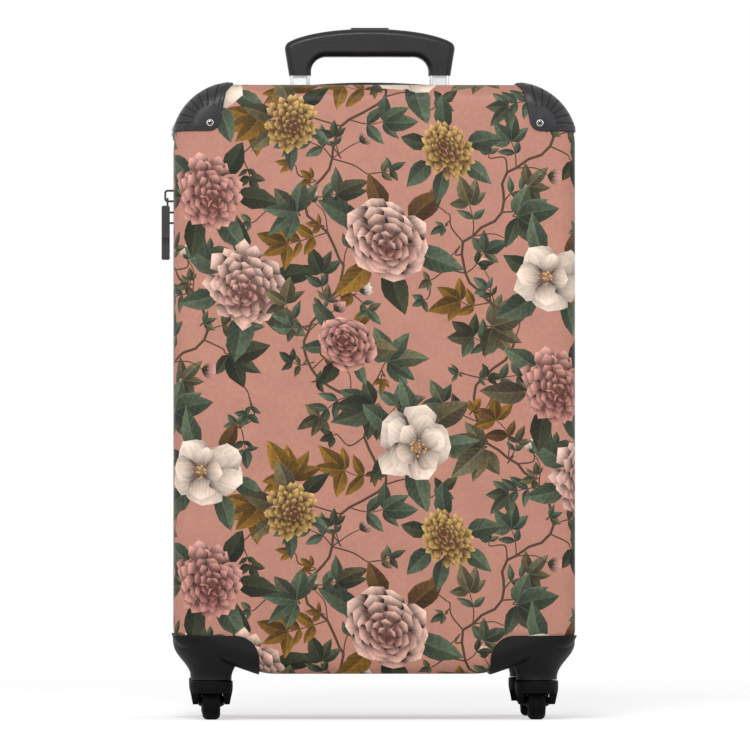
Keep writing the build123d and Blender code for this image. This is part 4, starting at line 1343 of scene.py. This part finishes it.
class SUITCASE_OT_finish_parts(bpy.types.Operator):
    """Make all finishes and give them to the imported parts"""

    bl_idname = "suitcase.finish_parts"
    bl_label = "Finish the packed parts"

    def execute(self, context):
        make_finishes(context.scene.case_trim)
        by_slot = {
            "printed_shell": "printed_polycarbonate", "black_plastic": "moulded_abs", "grip_plastic": "polished_abs",
            "steel": "zinc_plate", "chrome": "nickel_plate", "aluminium": "anodised_aluminium",
            "tyre": "cast_polyurethane", "tape": "woven_tape", "lining": "lining_twill",
            "slider_metal": "black_lacquer",
        }
        by_ending = {"fork": "glass_filled_nylon", "axle": "phosphated_steel", "pins": "phosphated_steel"}
        for part in frame["record"]["subparts"]:
            mesh = NODES[part["node"]].data
            mesh.materials.clear()
            ending = part["node"].split("_")[-1]
            mesh.materials.append(finishes[by_ending.get(ending, by_slot[part["material_slot"]])])
        return {"FINISHED"}


class SUITCASE_OT_print_shells(bpy.types.Operator):
    """Press both shells from printed sheet"""

    bl_idname = "suitcase.print_shells"
    bl_label = "Print the shells"

    def execute(self, context):
        settings = context.scene.case_print
        run = EDGE_RUN + WALL_RUN - RIM
        tube_low, tube_high = (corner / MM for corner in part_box("outer_tube_right"))
        margin = 4.0
        slot_runs = [EDGE_RUN + HALF_DEPTH - EDGE_RADIUS - y for y in (tube_high.y + margin, tube_low.y - margin)]
        top = CASE_TOP - EDGE_RADIUS
        slots = []
        for side in (-1, 1):
            ends = sorted((side * (tube_low.x - margin), side * (tube_high.x + margin)))
            slots.append([(ends[0], top + slot_runs[0]), (ends[1], top + slot_runs[0]),
                          (ends[1], top + slot_runs[1]), (ends[0], top + slot_runs[1])])
        materials = (finishes["printed_polycarbonate"], finishes["bare_polycarbonate"])
        for half, holes in (("front", ()), ("rear", slots)):
            shapes = print_shapes(settings, run, np.array(PRINT_SHIFTS[half]))
            piece = pressed_tray(f"{half}_printed_shell", half, run, (0.0, -SHELL_WALL), materials, shapes, holes)
            settle(piece, f"{half}_half", "printed_shell", f"{half}_shell")
        return {"FINISHED"}


class SUITCASE_OT_fit_guards(bpy.types.Operator):
    """Mould the four corner guards"""

    bl_idname = "suitcase.fit_guards"
    bl_label = "Fit the corner guards"

    def execute(self, context):
        for half in HALVES:
            for side in SIDES:
                piece = corner_guard(f"{half}_guard_{side}", half, side, context.scene.case_trim)
                settle(piece, f"{half}_half", "black_plastic", f"{half}_corner_guard_{side}")
        return {"FINISHED"}


class SUITCASE_OT_fit_screws(bpy.types.Operator):
    """Drive the guard screws"""

    bl_idname = "suitcase.fit_screws"
    bl_label = "Fit the guard screws"

    def execute(self, context):
        trim = context.scene.case_trim
        tree = screw_tree()
        for half in HALVES:
            seats = screw_seats(half)
            mesh = seeds([np.array(place) * MM for place, _ in seats])
            ways = mesh.attributes.new("seat_way", "FLOAT_VECTOR", "POINT")
            ways.data.foreach_set("vector", np.array([way for _, way in seats], np.float32).ravel())
            # The heads' cross recesses get a near-black material: painted shade
            piece = grown(f"{half}_screws", mesh, tree, {
                "Head radius": trim.screw_radius, "Head height": trim.screw_height,
                "Recess width": RECESS_WIDTH, "Recess length": RECESS_LENGTH, "Finish": finishes["nickel_plate"],
                "Recess painted shade": finishes["recess_painted_shade"],
            })
            piece.data.set_sharp_from_angle(angle=SMOOTH_ANGLE)
            settle(piece, f"{half}_half", "chrome", f"{half}_guard_screws")
        return {"FINISHED"}


class SUITCASE_OT_fit_wheels(bpy.types.Operator):
    """Turn the four wheels"""

    bl_idname = "suitcase.fit_wheels"
    bl_label = "Fit the wheels"

    def execute(self, context):
        materials = (finishes["cast_polyurethane"], finishes["moulded_abs"])
        for half in HALVES:
            for side in SIDES:
                low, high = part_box(f"{half}_{side}_wheel")
                size = (high - low) / MM / 2
                profile = wheel_profile(size.z, size.x)
                piece = lathe(profile, (low + high) / 2, materials, f"{half}_{side}_turned_wheel")
                settle(piece, f"{half}_{side}_roller", "tyre", f"{half}_{side}_wheel")
        return {"FINISHED"}


class SUITCASE_OT_sew_zip(bpy.types.Operator):
    """Sew the zip tapes, their teeth and the hinge strip"""

    bl_idname = "suitcase.sew_zip"
    bl_label = "Sew the zip"

    def execute(self, context):
        tree = teeth_tree()
        pitch = context.scene.case_trim.tooth_pitch
        for half in HALVES:
            tape = tape_band(f"{half}_tape", half)
            settle(tape, f"{half}_half", "tape", f"{half}_zip_tape")
            facing = FACING[half]
            line = zip_path(TEETH_INSET)[0]
            points = [(x * MM, facing * TEETH_SETBACK * MM, z * MM) for x, z in line]
            edges = [(k, k + 1) for k in range(len(points) - 1)]
            teeth = grown(f"{half}_teeth", seeds(points, edges), tree, {
                "Pitch": pitch, "Tooth": TOOTH_SIZE, "Finish": finishes["moulded_nylon"]})
            settle(teeth, f"{half}_half", "tape")
        strip = hinge_strip()
        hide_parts("front_hinge_tape", "rear_hinge_tape")
        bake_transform(strip)
        return {"FINISHED"}


class SUITCASE_OT_sew_linings(bpy.types.Operator):
    """Line both halves with cloth"""

    bl_idname = "suitcase.sew_linings"
    bl_label = "Sew the linings"

    def execute(self, context):
        mouth, thick = 16.3, 0.8
        run = EDGE_RUN + WALL_RUN - mouth
        low, tall = CASE_FLOOR - run, CASE_TOP + run
        side = tube_cover()[0]
        creases = [hand * (side + step) for hand in (-1, 1) for step in (0, 0.8, 2.1)]
        folds = [np.array(((x, low), (x, tall))) for x in creases]
        for half, lines, reshape in (("front", (), None), ("rear", folds, over_tubes)):
            piece = pressed_tray(f"{half}_lining_cloth", half, run, (-LINING_GAP, -LINING_GAP - thick),
                                 (finishes["lining_twill"],), (), (), lines, reshape)
            settle(piece, f"{half}_half", "lining", f"{half}_lining")
        return {"FINISHED"}


class SUITCASE_OT_set_stage(bpy.types.Operator):
    """Set the floor, lights and camera"""

    bl_idname = "suitcase.set_stage"
    bl_label = "Set the stage"

    def execute(self, context):
        scene, stage = context.scene, context.scene.case_stage
        scene.view_settings.view_transform = "Standard"
        aim = Vector((0, -HALF_DEPTH * MM, stage.aim_height))
        back = Vector((
            math.sin(stage.azimuth) * math.cos(stage.elevation),
            -math.cos(stage.azimuth) * math.cos(stage.elevation),
            math.sin(stage.elevation),
        ))
        camera = bpy.data.objects.new("camera", bpy.data.cameras.new("camera"))
        camera.data.lens = stage.lens
        camera.location = aim + back * stage.distance
        camera.rotation_euler = (-back).to_track_quat("-Z", "Y").to_euler()
        scene.collection.objects.link(camera)
        scene.camera = camera
        for name, place, size, power in (
            ("key", (-0.35, -2.9, 1.9), 0.7, stage.key_power),
            ("left_wash", (-2.3, -0.9, 0.9), 1.4, stage.side_power),
            ("right_wash", (2.3, -0.9, 0.9), 1.4, stage.side_power),
        ):
            lamp = bpy.data.objects.new(name, bpy.data.lights.new(name, "AREA"))
            lamp.data.size = size
            lamp.data.energy = power
            lamp.location = place
            lamp.rotation_euler = (LIGHT_AIM - Vector(place)).to_track_quat("-Z", "Y").to_euler()
            scene.collection.objects.link(lamp)
        self.hang_sky(scene, stage.sky)
        self.lay_floor(stage)
        return {"FINISHED"}

    def hang_sky(self, scene, strength):
        """White where the camera and reflections see it, softer where it lights the object."""
        scene.world = scene.world or bpy.data.worlds.new("studio")
        scene.world.use_nodes = True
        tree = scene.world.node_tree
        tree.nodes.clear()
        rays = node(tree, "ShaderNodeLightPath").outputs
        seen = calc(tree, "MAXIMUM", rays["Is Camera Ray"], rays["Is Glossy Ray"])
        seen = calc(tree, "MAXIMUM", seen, rays["Is Transmission Ray"])
        level = ramp(tree, seen, 0.0, 1.0, strength, 1.0)
        light = node(tree, "ShaderNodeBackground", {"Color": (1, 1, 1, 1), "Strength": level}).outputs[0]
        node(tree, "ShaderNodeOutputWorld", {"Surface": light})

    def lay_floor(self, stage):
        """Pale paper floor: the camera sees a light shadow on it, and white further off."""
        reach, near, far = 3.0, 0.7, 2.2
        corners = [(-reach, -reach, 0), (reach, -reach, 0), (reach, reach, 0), (-reach, reach, 0)]
        material = blank_material("matt_paper")
        tree = material.node_tree
        spot = spot_of(tree)
        away = size_of(tree, spot)
        thin = ramp(tree, away, near, far, 0.0, 1.0, smooth=True)
        seen = node(tree, "ShaderNodeLightPath").outputs["Is Camera Ray"]
        fade = calc(tree, "MULTIPLY", thin, seen)
        lift = calc(tree, "MULTIPLY", seen, stage.floor_lift)
        paper = node(tree, "ShaderNodeBsdfDiffuse", {"Color": linear("#fbfbfb")}).outputs[0]
        glow = node(tree, "ShaderNodeEmission", {"Strength": lift}).outputs[0]
        lit = node(tree, "ShaderNodeAddShader", {0: paper, 1: glow}).outputs[0]
        clear = node(tree, "ShaderNodeBsdfTransparent").outputs[0]
        mix = node(tree, "ShaderNodeMixShader", {0: fade, 1: lit, 2: clear}).outputs[0]
        node(tree, "ShaderNodeOutputMaterial", {"Surface": mix})
        new_piece("floor", corners, [(0, 1, 2, 3)], material)


class SUITCASE_PT_panel(bpy.types.Panel):
    """Lists the steps that dress the suitcase"""

    bl_label = "Suitcase"
    bl_space_type = "VIEW_3D"
    bl_region_type = "UI"
    bl_category = "Suitcase"

    def draw(self, context):
        for step in STEPS:
            self.layout.operator(step.bl_idname)


STEPS = (
    SUITCASE_OT_finish_parts,
    SUITCASE_OT_print_shells,
    SUITCASE_OT_fit_guards,
    SUITCASE_OT_fit_screws,
    SUITCASE_OT_fit_wheels,
    SUITCASE_OT_sew_zip,
    SUITCASE_OT_sew_linings,
    SUITCASE_OT_set_stage,
)
GROUPS = {"case_print": CasePrint, "case_trim": CaseTrim, "case_stage": CaseStage}


def register():
    """Registers settings, steps and panel."""
    for name, group in GROUPS.items():
        bpy.utils.register_class(group)
        setattr(bpy.types.Scene, name, bpy.props.PointerProperty(type=group))
    for step in (*STEPS, SUITCASE_PT_panel):
        bpy.utils.register_class(step)


def unregister():
    """Takes them away again."""
    for step in (SUITCASE_PT_panel, *reversed(STEPS)):
        bpy.utils.unregister_class(step)
    for name, group in reversed(GROUPS.items()):
        delattr(bpy.types.Scene, name)
        bpy.utils.unregister_class(group)


def main():
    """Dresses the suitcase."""
    register()
    for step in STEPS:
        family, name = step.bl_idname.split(".")
        getattr(getattr(bpy.ops, family), name)()


if __name__ == "__main__":
    main()
